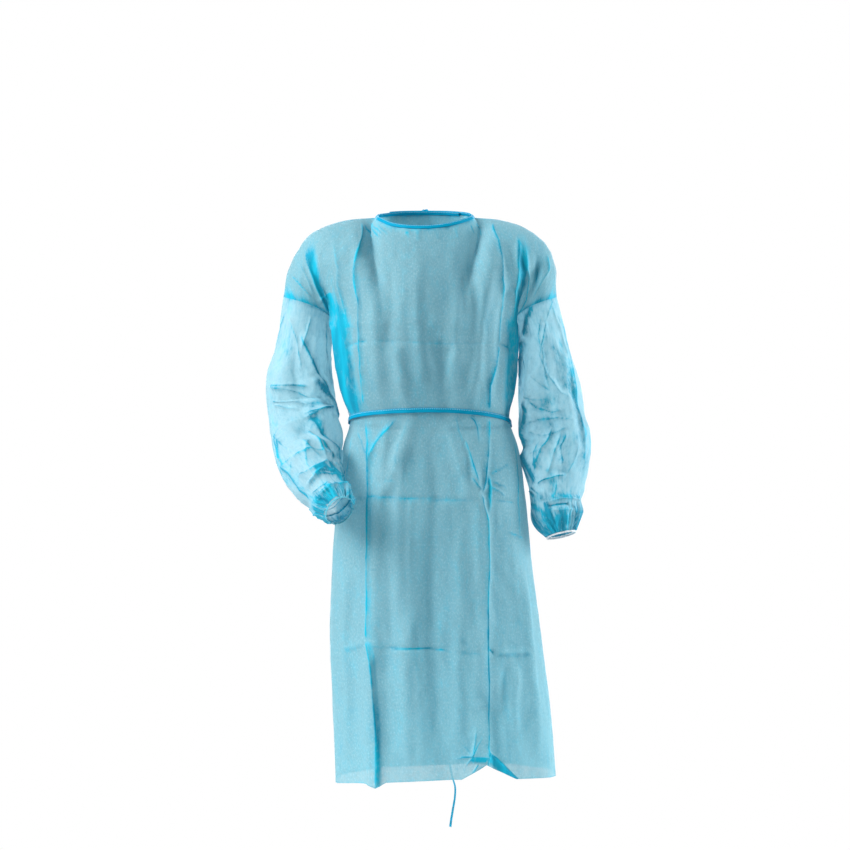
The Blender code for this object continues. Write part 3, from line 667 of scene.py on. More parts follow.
@dataclass(frozen=True)
class Tape:
    """A strip of the same cloth folded over itself, sewn along its edge."""

    name: str
    tint: Colour = (0.001, 0.27, 0.46, 1.0)
    light: Colour = (0.002, 0.38, 0.60, 1.0)
    sewn: Colour = (0.62, 0.83, 0.90, 1.0)  # the stitches' thread
    glow: Colour = (0.003, 0.42, 0.58, 1.0)
    width: float = BELT_WIDTH
    stitch: float = 0.0034  # length of a stitch and its gap
    seam_at: float = 0.30  # places across, as shares of the width
    fold_at: float = 0.16
    pulls: Flat = (60.0, 260.0)
    fuzz: Flat = (620.0, 620.0)

    def make(self) -> Material:
        """Builds the material on the strip's own map, along it and across it.

        Returns:
            The material.
        """
        b = material_bench(self.name)
        chart, run, wide = b.chart()
        pull = b.grain(chart, self.pulls, 3.0)
        fuzz = b.grain(chart, self.fuzz, 3.0, 0.7)
        from_seam = b.math("ABSOLUTE", wide - self.width * self.seam_at)
        from_fold = b.math("ABSOLUTE", wide + self.width * self.fold_at)
        seam = b.between(b.wave(run, self.stitch), 0.1, 0.5) * (1 - b.between(from_seam, 0.0002, 0.0007))
        fold = 1 - b.between(from_fold, 0.0002, 0.0010)
        tone = b.colour(b.clamp((pull - 0.35) * 1.5), self.tint, self.light)
        tone = b.colour(b.clamp((fuzz - 0.5) * 1.2), tone, self.light)
        # Painted highlight: a lighter line along the strip's fold
        tone = b.colour(fold * 0.45, tone, self.light)
        tone = b.colour(seam * 0.75, tone, self.sewn)
        body = b.body(
            Base_Color=tone,
            Roughness=b.clamp(0.55 + (fuzz - 0.5) * 0.3),
            Specular_IOR_Level=0.05,
            Normal=b.bump(0.45, 0.0008, fuzz * 0.6 + pull * 0.8 + seam * 0.8 - fold * 0.6),
        )
        return b.finish(b.lit(0.25, body, self.glow))


@dataclass(frozen=True)
class Elastic:
    """Covered elastic: fine ribs along the band and finer ones across it."""

    name: str = "white_elastic"
    dark: Colour = (0.66, 0.72, 0.76, 1.0)
    light: Colour = (0.93, 0.95, 0.96, 1.0)
    ribs: Flat = (0.0011, 0.0008)
    fuzz: Flat = (900.0, 900.0)

    def make(self) -> Material:
        """Builds the material on the band's own map.

        Returns:
            The material.
        """
        b = material_bench(self.name)
        chart, run, wide = b.chart()
        rib, cross = b.wave(run, self.ribs[0]), b.wave(wide, self.ribs[1])
        fuzz = b.grain(chart, self.fuzz, 3.0, 0.7)
        shade = b.clamp(0.5 + rib * 0.25 + cross * 0.12 + (fuzz - 0.5) * 0.5)
        return b.finish(b.body(
            Base_Color=b.colour(shade, self.dark, self.light),
            Roughness=b.clamp(0.72 + (fuzz - 0.5) * 0.2),
            Sheen_Weight=0.2,
            Normal=b.bump(0.5, 0.0004, rib + cross * 0.5),
        ))


def rework(mesh: bpy.types.Mesh, change: Callable[[bmesh.types.BMesh], Any]) -> None:
    """Runs a change on a mesh.

    Args:
        mesh: The mesh.
        change: What is done to its bmesh.
    """
    bm = bmesh.new()
    bm.from_mesh(mesh)
    change(bm)
    bm.to_mesh(mesh)
    bm.free()


@dataclass(frozen=True)
class Shell:
    """A sheet of cloth as a grid of points, with its map and its share of deep colour, for cloth lying double and
    painted shade.

    A closed one meets itself along its first and last columns.
    """

    name: str
    grid: Grid
    chart: Array
    doubled_and_shaded: Array
    closed: bool = False

    def mesh(self, heart: Array) -> bpy.types.Mesh:
        """The sheet's mesh, with its faces turned away from the heart.

        Args:
            heart: For each point, a point inside the gown.

        Returns:
            The mesh, with the map cloth and the attribute of deep colour, for cloth lying double and painted shade.
        """
        columns, rows = self.grid.shape[:2]
        bm = bmesh.new()
        bmesh.ops.create_grid(bm, x_segments=columns - 1, y_segments=rows - 1, size=1.0)
        cross = np.cross(np.gradient(self.grid, axis=0), np.gradient(self.grid, axis=1))
        if np.sum(cross * (self.grid - heart)) < 0:
            bmesh.ops.reverse_faces(bm, faces=bm.faces)
        mesh = bpy.data.meshes.new(self.name)
        bm.to_mesh(mesh)
        bm.free()
        flat = np.empty(len(mesh.vertices) * 3)
        mesh.vertices.foreach_get("co", flat)
        flat = flat.reshape(-1, 3)
        i = np.rint((flat[:, 0] + 1) / 2 * (columns - 1)).astype(int)
        j = np.rint((flat[:, 1] + 1) / 2 * (rows - 1)).astype(int)
        mesh.vertices.foreach_set("co", self.grid[i, j].ravel())
        corners = np.empty(len(mesh.loops), int)
        mesh.loops.foreach_get("vertex_index", corners)
        layer = mesh.uv_layers.new(name="cloth")
        layer.data.foreach_set("uv", self.chart[i, j][corners].ravel())
        mark = mesh.attributes.new("doubled_and_shaded", "FLOAT", "POINT")
        mark.data.foreach_set("value", np.clip(self.doubled_and_shaded[i, j], 0, 1))
        if self.closed:
            rework(mesh, lambda bm: bmesh.ops.remove_doubles(bm, verts=bm.verts, dist=WELD))
        mesh.shade_smooth()
        return mesh


def place(name: str, mesh: bpy.types.Mesh, finish: Material, node: str, slot: str) -> bpy.types.Object:
    """Puts a finished mesh into the scene in place of its solid.

    Args:
        name: The piece's name.
        mesh: Its mesh, already in place.
        finish: Its material.
        node: The solid that it stands for.
        slot: The record's material slot; not used.

    Returns:
        The piece.
    """
    mesh.materials.append(finish)
    piece = bpy.data.objects.new(name, mesh)
    bpy.context.scene.collection.objects.link(piece)
    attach(piece, "root")
    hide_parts(node)
    log.info("%s: %d faces", name, len(mesh.polygons))
    return piece


def area_of(mesh: bpy.types.Mesh) -> float:
    """The mesh's area in square metres."""
    return sum(face.area for face in mesh.polygons)


@dataclass(frozen=True)
class BodyForm:
    """The form that the body panels share, as in their solids."""

    neck_handle: float = 0.034
    neck_fall: float = 0.035
    neck_fall_middle: float = 0.027
    shoulder_handle: float = 0.098
    shoulder_fall: float = 0.018
    shoulder_blend: Flat = (-0.08, 0.14)  # round the neckline's end, in shares
    underarm_rise: float = 0.085
    loop_top_share: float = 1.15
    loop_top_fall: float = 0.010
    loop_end_share: float = 0.62
    loop_end_rise: float = 0.040
    loop_blend: Flat = (0.74, 1.0)
    belt_front: float = -0.383
    belt_right: float = -0.404
    belt_left: float = -0.411
    belt_back: float = -0.418
    belt_pinch: float = 0.045
    pinched: float = 0.80  # how much lift the belt takes away
    side_power: int = 10
    shoulder_free: float = 0.05
    fold_ends: Flat = (0.18, 0.80)  # where a broad fold is full, in shares of its run
    ring_points: int = 181
    tuck_turn: float = math.radians(62)
    tuck_spread: float = math.radians(15)
    levels: int = 360

    def half_ring(self, face: Face, level: float) -> Array:
        """Half of a body section.

        Args:
            face: Front or back.
            level: The section's height.

        Returns:
            Points from the right side to the left.
        """
        s = Section(level, *through([-s.level for s in BODY], [s[1:] for s in BODY], -level))
        turn = np.radians(np.linspace(-90, 90, self.ring_points))
        across = np.sign(turn) * np.abs(np.sin(turn)) ** (2 / s.square)
        ahead = np.abs(np.cos(turn)) ** (2 / s.square)
        middle, half = (s.right + s.left) / 2, (s.left - s.right) / 2
        corner = bell(np.abs(turn) - self.tuck_turn, self.tuck_spread)
        x = middle + across * (half - s.tuck) + np.sign(turn) * s.tuck * corner
        y = -s.front * ahead if face is Face.FRONT else s.back * ahead
        return np.stack([x, y, np.full_like(x, level)], axis=1)

    def hem_level(self, face: Face, shares: Array) -> Array:
        """The hem's level along a panel."""
        lift = HEM_FRONT_LIFT * (1 - shares * shares) if face is Face.FRONT else 0.0
        return -GOWN_LENGTH + NECK_FRONT[0].z + lift + HEM_LEFT_LIFT * smooth_step(-1, 1, shares)

    def belt_level(self, face: Face, shares: Array) -> Array:
        """The belt's height round the waist, at shares from -1 to 1."""
        middle = self.belt_front if face is Face.FRONT else self.belt_back
        return middle + (np.where(shares < 0, self.belt_right, self.belt_left) - middle) * shares * shares

    def top_edge(self, face: Face, shares: Array) -> Array:
        """The upper edge of a panel: neckline in the middle, a shoulder seam at each side.

        Args:
            face: Front or back.
            shares: Places across, from -1 to 1.

        Returns:
            One point for each share.
        """
        neckline = NECK_FRONT if face is Face.FRONT else NECK_BACK
        neck = along_table(neckline, (np.clip(shares / NECK_SHARE, -1, 1) + 1) / 2)
        out = (np.abs(shares) - NECK_SHARE) / (1 - NECK_SHARE)
        right, left = (along_table(SHOULDERS[side], np.clip(out, 0, 1)) for side in Side)
        at_side = np.where((shares < 0)[:, None], right, left)
        return np.where((out > 0)[:, None], at_side, neck)

    def column_handles(self, face: Face, shares: Array) -> tuple[Array, Array]:
        """The handles of the curves that run down from the upper edge.

        Args:
            face: Front or back.
            shares: Places across, from -1 to 1.

        Returns:
            How each column leaves the upper edge, and how it comes in to the underarm level.
        """
        ahead = -1.0 if face is Face.FRONT else 1.0
        right, left = (ARMHOLES[side].front if face is Face.FRONT else ARMHOLES[side].back for side in Side)
        reach = ahead * np.where(shares < 0, right, left) * 4 / 3
        zero = np.zeros(shares.shape)
        turn = np.clip(shares / NECK_SHARE, -1, 1) * math.pi / 2
        neck = np.stack([
            self.neck_handle * np.sin(turn), ahead * self.neck_handle * np.cos(turn),
            -self.neck_fall - self.neck_fall_middle * np.cos(turn),
        ], axis=1)
        shoulder = np.array([0, ahead * self.shoulder_handle, -self.shoulder_fall])
        loop_top = np.stack([zero, reach * self.loop_top_share, zero - self.loop_top_fall], axis=1)
        loop_end = np.stack([zero, reach * self.loop_end_share, zero + self.loop_end_rise], axis=1)
        start, stop = (NECK_SHARE + gap for gap in self.shoulder_blend)
        at_shoulder = smooth_step(start, stop, np.abs(shares))[:, None]
        at_loop = smooth_step(*self.loop_blend, np.abs(shares))[:, None]
        leave = (neck * (1 - at_shoulder) + shoulder * at_shoulder) * (1 - at_loop) + loop_top * at_loop
        arrive = np.array([0, 0, self.underarm_rise]) * (1 - at_loop) + loop_end * at_loop
        return leave, arrive

    def armhole(self, side: Side, face: Face, t: Array) -> Array:
        """Half an armhole seam.

        Args:
            side: Right or left.
            face: Front or back.
            t: Places from 0 at the shoulder to 1 at the underarm.

        Returns:
            One point for each place.
        """
        share = np.array([-1.0 if side is Side.RIGHT else 1.0])
        start = self.top_edge(face, share)
        hole = ARMHOLES[side]
        end = np.array([[hole.under_x, 0.0, hole.under_z]])
        leave, arrive = self.column_handles(face, share)
        return bezier(start, start + leave, end + arrive, end, t[:, None])

    def base(self, face: Face, shares: Array, rows: Array) -> Grid:
        """A panel's points before its folds.

        Args:
            face: Front or back.
            shares: The columns' places, from -1 to 1.
            rows: The rows' places, from 0 above to 1 at the hem.

        Returns:
            The points.
        """
        start = self.top_edge(face, shares)[:, None]
        leave, arrive = (h[:, None] for h in self.column_handles(face, shares))
        end = along_line(self.half_ring(face, UNDERARM_LEVEL), shares)[:, None]
        t = np.clip(rows / V_UNDERARM, 0, 1)[None, :, None]
        upper = bezier(start, start + leave, end + arrive, end, t)
        belt = self.belt_level(face, shares)[:, None]
        hem = self.hem_level(face, shares)[:, None]
        v = rows[None, :]
        level = np.where(
            v <= V_BELT,
            UNDERARM_LEVEL + (v - V_UNDERARM) / (V_BELT - V_UNDERARM) * (belt - UNDERARM_LEVEL),
            belt + (v - V_BELT) / (1 - V_BELT) * (hem - belt),
        )
        levels = np.linspace(BODY[-1].level, BODY[0].level, self.levels)
        rings = np.stack([along_line(self.half_ring(face, z), shares) for z in levels])
        lower = np.empty((len(shares), len(rows), 3))
        for k in range(len(shares)):
            for axis in (0, 1):
                lower[k, :, axis] = np.interp(level[k], levels, rings[:, k, axis])
        lower[:, :, 2] = level
        return np.where((rows > V_UNDERARM)[None, :, None], lower, upper)

    def outward(self, face: Face, grid: Grid) -> Grid:
        """Unit vectors square to a panel's points, away from the wearer."""
        cross = unit(np.cross(np.gradient(grid, axis=1), np.gradient(grid, axis=0)))
        return cross if face is Face.FRONT else -cross

    def held(self, face: Face, shares: Array, level: Array) -> Array:
        """How freely the cloth can lift: little at the belt, the side seams and the shoulders.

        Args:
            face: Front or back.
            shares: The columns' places, from -1 to 1.
            level: Each point's height.

        Returns:
            One number from 0 to 1 for each point.
        """
        belt = self.belt_level(face, shares)[:, None]
        free = 1 - self.pinched * bell(level - belt, self.belt_pinch)
        sides = 1 - np.abs(shares)[:, None] ** self.side_power
        return free * sides * smooth_step(0, self.shoulder_free, -level)

    def fold_lift(self, face: Face, shares: Array, grid: Grid) -> Array:
        """How far the broad folds lift the cloth.

        Args:
            face: Front or back.
            shares: The columns' places, from -1 to 1.
            grid: The panel's points before its folds.

        Returns:
            The lift at each point.
        """
        level = grid[:, :, 2]
        lift = np.zeros(level.shape)
        full, fades = self.fold_ends
        for f in FRONT_FOLDS if face is Face.FRONT else BACK_FOLDS:
            down = np.clip((level - f.start) / (f.stop - f.start), 0, 1)
            centre = f.upper + (f.lower - f.upper) * down
            ends = smooth_step(0, full, down) * (1 - smooth_step(fades, 1, down))
            lift += f.height * ends * bell(shares[:, None] - centre, f.spread)
        return lift * self.held(face, shares, level)

    def broad(self, face: Face, shares: Array, rows: Array, shift: Array | float = 0.0) -> Grid:
        """A panel's points with its broad folds, as its solid has them.

        Args:
            face: Front or back.
            shares: The columns' places, from -1 to 1.
            rows: The rows' places, from 0 above to 1 at the hem.
            shift: How far each column lies outside the form.

        Returns:
            The points.
        """
        base = self.base(face, shares, rows)
        lift = self.fold_lift(face, shares, base) + np.reshape(shift, (-1, 1))
        return base + self.outward(face, base) * lift[:, :, None]


def lap_shift(shares: Array) -> Array:
    """How far the upper back panel lies outside the lower one at each share."""
    start, stop = (LAP_SHARE + gap for gap in LAP_FADE)
    return LAP_SHIFT * (1 - smooth_step(start, stop, shares))


class Notch(NamedTuple):
    """A tent in the hem: its centre, its width to each side and its rise."""

    centre: float
    right: float
    left: float
    rise: float


def swells(*rows: tuple[tuple[float, ...], float, float]) -> tuple[Crease, ...]:
    """Soft creases from their points, heights and reaches."""
    return tuple(Crease(points, height, reach, soft=True) for points, height, reach in rows)


# Creases of the body panels: each point's way across from the middle line, and its height
# Their deep lines and bands are the double layer of a fold and also painted shade in and beside the crease
FRONT_CREASES = (
    Crease((-182, -12.2, -165.7, -68.1, -128.5, -174.3, -130.5, -287.7, -131.7, -378.5), 3.6, 5, .5, -10, .3,
        ends=.05),
    Crease((-133.7, -390.8, -127.9, -440.3, -126, -591.1, -128.2, -741.5, -133.1, -816.5), 3.8, 4.8, .6, -12, .34,
        thread=2.8, ends=(.08, .03)),
    Crease((-133.1, -816.5, -127.2, -853, -128.2, -926.4, -128.2, -989.1, -133, -1080.3), 3.6, 5, .6, -13, .55,
        ends=(.03, 0)),
    Crease((-128.8, -947.7, -125.2, -998.2, -128.5, -1082.6), 2, 6, .85, thread=6, ends=(.5, 0)),
    Crease((190.3, -17.5, 189.7, -58, 162.6, -136.3, 165.3, -192.7, 161.9, -258.6), 3.6, 4.6, .55, 7, .25, ends=.05),
    Crease((161.9, -258.6, 147.7, -297.6, 130.5, -335.1, 124.4, -386.2), 4.2, 5.2, .6, 10, .45, thread=3.6,
        ends=(.05, .1)),
    Crease((122.9, -394.2, 118.1, -421.3, 112.9, -468.4, 107.5, -516.1, 99.6, -537.4), 4, 4.4, .62, 8, .35,
        ends=(.1, .05)),
    Crease((99.6, -537.4, 99.6, -562.4, 108.9, -591.1, 108.8, -666.1, 102.4, -740.6, 91.4, -928.5, 80.7, -1073.3),
        3.6, 4.6, .58, 8, .26, ends=.03),
    Crease((-228, -57, -184.6, -115.6, -167.6, -191.6, -160.9, -258.9), 3, 6, .38, -10, .2),
    Crease((-303.4, -65.8, -282.8, -98.2, -256.9, -137.5, -237.7, -171.4), 6, 8, .62, -30, 1, thread=3, ends=(.3, 0)),
    Crease((-237.7, -165.8, -232.2, -191.6, -207, -228.4, -203.8, -286, -192.6, -343.6, -181.4, -405.2), 6, 10, .62,
        -56, 1, thread=6, ends=(0, .1)),
    Crease((205.6, -412.6, 207.8, -361.9, 217.9, -286, 220.7, -227.5, 240.2, -193.3), 4, 8, .62, -40, .8, thread=6,
        ends=(.1, 0)),
    Crease((-200.4, -112, -183, -172.4, -173.8, -229.6, -164.3, -296.9, -161.7, -373.1), 4, 6, .45, ends=(.35, .3)),
    Crease((246.4, -33, 214.3, -96.6, 193.7, -153.2, 204.2, -209.3, 209.2, -286.5, 197.3, -386.1), 6, 7, .62, -34,
        .95, thread=3, ends=.12),
    Crease((252.8, -39.1, 234.5, -111.1, 254.1, -171.3, 220.3, -246.7, 214.7, -324.4, 211.4, -392.4), 4.2, 5, .62,
        ends=(.2, .3)),
    # Painted shade: a wide trough with a deep line, for the dark hollow beside the wearer's left armpit fold
    Crease((278.5, -71, 276.3, -124, 295.6, -171.6), -6, 16, .42, thread=15, ends=.5, soft=True),
    Crease((306.3, -74.1, 322.1, -114.1, 301, -141, 276.7, -175.4), 3.4, 4.5, .4, 8, .3),
    Crease((-361.2, -118.8, -315.8, -147.1, -277, -171.9), 3, 4, .45),
    Crease((-316.2, -98.2, -283, -134.1, -267.3, -164.1), 3, 5, .3),
    Crease((-178.8, -16.3, -166.4, -33.1, -123.4, -52.4), 2, 2.4, .5),
    Crease((-170.1, -15.9, -126.8, -34, -91.8, -55.8), 2, 2.4, .45, -4, .35),
    Crease((-158.9, -17.6, -106.5, -35.1, -85, -50.5), 1.8, 2.2, .4),
    Crease((-109.7, -24.4, -79.6, -44.3), 1.6, 2.2, .35),
    Crease((-39.7, -34.3, -35, -44, -31.6, -55.6), 2, 2.4, .55),
    Crease((-11.2, -36.2, -14.4, -63.8), 1.6, 2.6, .25),
    Crease((21.7, -35.7, 27.7, -60.4), 1.6, 2.6, .25),
    Crease((61.4, -31, 67.7, -55.4), 1.8, 2.4, .35),
    Crease((103.6, -25.1, 114.3, -44.6), 1.8, 2.2, .4),
    Crease((124.8, -20.1, 160.2, -32.8, 154.7, -52.1), 2, 2.2, .5),
    Crease((-170.2, -260.4, -137.3, -255.6, -107.1, -251.3), -2.4, 3.6, .4),
    Crease((-107.1, -251.3, 12.9, -257.5, 189.7, -257.6), -1.4, 3.4, .16, ends=.1),
    Crease((167.8, -256.7, 208.1, -267.4), -2.2, 3.4, .4),
    Crease((-91.7, -515.8, -67.9, -515), -1.6, 2.8, .36),
    Crease((-163.7, -548.2, -114.7, -546, -49, -549.3, 17.4, -550.8, 93.6, -552.5), -2, 3.2, .36, 10, .18),
    Crease((121.7, -556.7, 147.2, -555.2, 180.4, -559.2), -2, 3, .4),
    Crease((-194, -837.2, -164.5, -830.1, -136, -822), 3.4, 4, .1, 8, .3),
    Crease((-133.7, -825.8, -99.8, -828.7), 1.6, 3, .22),
    Crease((-99.8, -830, -11.4, -830, 41.1, -837.4), -3, 3.4, .72, thread=2, ends=(.12, .25)),
    Crease((41.1, -837.4, 92.8, -839.5), -1.4, 3, .26),
    Crease((98.7, -830.4, 109.8, -841.6), -2.8, 3, .75),
    Crease((109.8, -841.6, 150.9, -841.4, 196.7, -844.4), 3.8, 4, .08, 8, .34),
    Crease((-60.4, -393.1, -73.9, -409.8, -88.3, -424.7, -108.2, -443.7, -121.2, -463.3, -127.8, -485.1), 4, 4.4, .6,
        10, .36),
    Crease((-38.7, -391.1, -49.2, -417.6, -61.5, -450.9, -70.4, -496.1), 2.2, 6, .2),
    Crease((73.7, -391.8, 86.7, -402.2, 91.9, -417.1, 94.9, -451.1), 4, 4, .6, -9, .34),
    Crease((64.2, -431.8, 77.3, -467.9, 87.2, -506, 94.2, -528.9), 3.4, 4, .45, 7, .22),
    Crease((50.4, -394.1, 54.3, -420.7, 64.6, -447.5), 2.4, 3.6, .25),
    Crease((76.8, -508.1, 88.4, -524.4, 99.4, -536), 2.6, 3, .5),
    Crease((110.9, -498.1, 117.9, -527.6, 115.4, -561.4, 108.9, -591.1), 2.6, 3.6, .62, thread=4.5, ends=(.25, .35)),
    Crease((121, -516.1, 136.2, -524.1, 157.7, -531.7), 2.2, 2.4, .42),
    Crease((117.9, -527.6, 135.6, -537.1, 152.7, -548), 2.2, 2.4, .4),
    Crease((116.6, -503.9, 136.9, -496.9, 165.6, -483.7), 2.2, 2.6, .34),
    Crease((199.7, -340, 194.8, -372.9), 3, 4, .45),
    Crease((187.2, -425.8, 188.5, -450.7, 190.5, -516.9, 186, -592.5, 185.8, -668.8), 3.4, 4.4, .52, ends=(.15, .4)),
    Crease((150.8, -613.2, 174.5, -620.9, 206.5, -631.5), 2, 2.6, .42),
    Crease((-158.2, -421.8, -142.9, -440.6, -130.1, -470.7), 3, 3.6, .4),
    Crease((-174, -417.4, -173.6, -459.7, -179.1, -516.9, -185.6, -593.1), 3.4, 6, .34),
    Crease((52.8, -1042.6, 61.4, -1025.4, 76.2, -1009.8), 3.6, 2.6, .6, thread=1.8, ends=(0, .7)),
    Crease((52.8, -1039.9, 58.8, -1013.5, 63.5, -977.8), 2.8, 2.6, .5, thread=1.5, ends=(0, .7)),
    Crease((52.8, -1042.6, 32.8, -1033.5, 14.2, -1037.8), 3.4, 2.8, .58, thread=1.6, ends=(0, .7)),
    Crease((52.8, -1042.6, 44.1, -1049.2, 34.1, -1057.3), 3, 2.6, .55, thread=1.6, ends=(0, .7)),
    Crease((52.8, -1042.6, 54.2, -1061.1), 2.8, 2.4, .55, thread=1.6, ends=(0, .7)),
    Crease((61.7, -1062.4, 53, -1071.7, 41.7, -1074.4), 3, 2.6, .52, thread=1.7, ends=(.1, .6)),
    Crease((51.5, -1041.3, 41.4, -1020.1, 27.7, -1004.4), 2.2, 3, .3, thread=1.5, ends=(0, .8)),
    Crease((51.6, -1042.6, 64.1, -1051.9, 79.3, -1061.4), 3, 3.6, .8, 9.5, 1, thread=1.8, ends=0),
    Crease((81.8, -1048.3, 98.8, -1050.3, 120.3, -1061.4, 140.1, -1076.4), 4, 3.4, .9, 26, 1, thread=1.8, ends=0),
    Crease((80.7, -1074.7, 79.3, -1064, 83, -1033.8), 2.6, 3, .8, thread=2, ends=(0, .5)),
    Crease((136.7, -853.6, 122.3, -909.6, 121.6, -971.7), -3.6, 10, .1, thread=6, soft=True),
    *swells(
        ((155.3, -862.7, 143.2, -929.1, 142.7, -1004), 3.4, 9),
        ((198.5, -669.1, 192.1, -819, 190.5, -931.8, 187.2, -1064.6), 4, 12),
        ((-172.8, -668.8, -188.3, -819.4, -207, -971.3, -205, -1084.8), 3.6, 11),
        ((-7.8, -60, -13.8, -176.4, -6.6, -288.7, -5.2, -368.3), 3, 12),
        ((49.5, -51.9, 63, -176.4, 60.9, -269.9, 38.3, -367.6), 3, 12),
        ((-73.5, -66.8, -58.9, -175.8, -67.6, -270.3, -58.3, -367.6), -2.8, 12),
        ((99.9, -57.6, 102.3, -175.2, 97.5, -270, 75, -372), -2.6, 11),
        ((-49.6, -421.5, -62.2, -589.7, -71, -777.7), 3.4, 13),
        ((4.1, -420.7, 10, -552.1, -1.7, -739.7, -8, -926.8, -10.7, -1075.5), -3.4, 15),
        ((44.9, -589.6, 51.2, -739.4, 33.4, -926.2, 19.3, -1074.8), 3.4, 14),
        ((-43.4, -739.2, -68, -926.5, -71, -1075.7), 3.4, 14),
        ((-75.4, -664.9, -82.7, -777, -96.9, -908.4), -2.4, 10),
    ),
)
BACK_CREASES = (
    Crease((-126, -30, -131, -150, -128, -280, -130, -400), 3.6, 4.8, .45, 9, .25),
    Crease((-130, -430, -127, -620, -131, -850, -129, -1100), 3.6, 4.8, .5, 10, .28, ends=(.05, 0)),
    Crease((134, -30, 129, -160, 132, -300, 130, -400), 3.6, 4.8, .45, -9, .25),
    Crease((130, -430, 133, -600, 128, -800, 132, -1100), 3.6, 4.8, .5, -10, .28, ends=(.05, 0)),
    Crease((-240, -262, -120, -258, 20, -261, 200, -256), -1.8, 3.4, .22, ends=.1),
    Crease((-220, -556, -90, -560, 40, -557), -2.2, 3.2, .38, 8, .15),
    Crease((20, -561, 130, -558, 230, -562), -1.8, 3.2, .25),
    Crease((-210, -846, -130, -850, -60, -848), 3.4, 3.8, .15),
    Crease((-50, -849, 80, -852), -2.8, 3.4, .6),
    Crease((100, -851, 240, -846), 3.4, 4, .12),
    Crease((-12, -424, -30, -452, -52, -500, -58, -545), 4.2, 4.6, .5, 9, .3),
    Crease((13, -425, 34, -455, 50, -506, 60, -560), 4.2, 4.6, .5, -9, .3),
    Crease((-20, -416, -60, -430, -92, -462), 3.2, 4.4, .36),
    Crease((21, -416, 58, -432, 100, -470), 3.2, 4.4, .36),
    Crease((-14, -410, -38, -372, -50, -320), 3.6, 4.8, .42, 8, .2),
    Crease((14, -410, 42, -368, 52, -312), 3.6, 4.8, .4, -8, .2),
    Crease((-22, -411, -70, -392, -110, -352), 2.8, 4.4, .3),
    Crease((23, -411, 75, -388, 108, -346), 2.8, 4.4, .3),
    Crease((-240, -100, -222, -180, -205, -270, -190, -360), 5.6, 8, .5, -18),
    Crease((240, -90, 221, -170, 207, -260, 188, -370), 5.6, 8, .5, 18),
    Crease((-30, -12, -34, -32), 1.8, 2.4, .4),
    Crease((24, -10, 29, -34), 1.8, 2.4, .4),
    Crease((-85, -20, -92, -44), 1.8, 2.6, .35),
    Crease((90, -20, 96, -40), 1.8, 2.6, .35),
    *swells(
        ((-60, -70, -64, -200, -58, -360), 3, 12),
        ((65, -80, 60, -220, 66, -360), 3, 12),
        ((-170, -460, -182, -700, -178, -1000), 4, 13),
        ((190, -460, 184, -720, 192, -1020), 4, 13),
        ((-70, -600, -74, -800, -66, -1060), -3.4, 14),
        ((75, -600, 70, -820, 79, -1060), -3.4, 14),
    ),
    Crease((52, -1050, 34, -1035, 20, -1012), 3, 3, .5, ends=(0, .8)),
    Crease((52, -1050, 70, -1040, 88, -1046), 3, 3, .5, ends=(0, .8)),
    Crease((52, -1050, 48, -1075, 56, -1100), 3, 3, .45, ends=(0, .5)),
)
HEM_NOTCHES = (Notch(-.134, .022, .02, -.0095), Notch(.077, .047, .06, .0265))


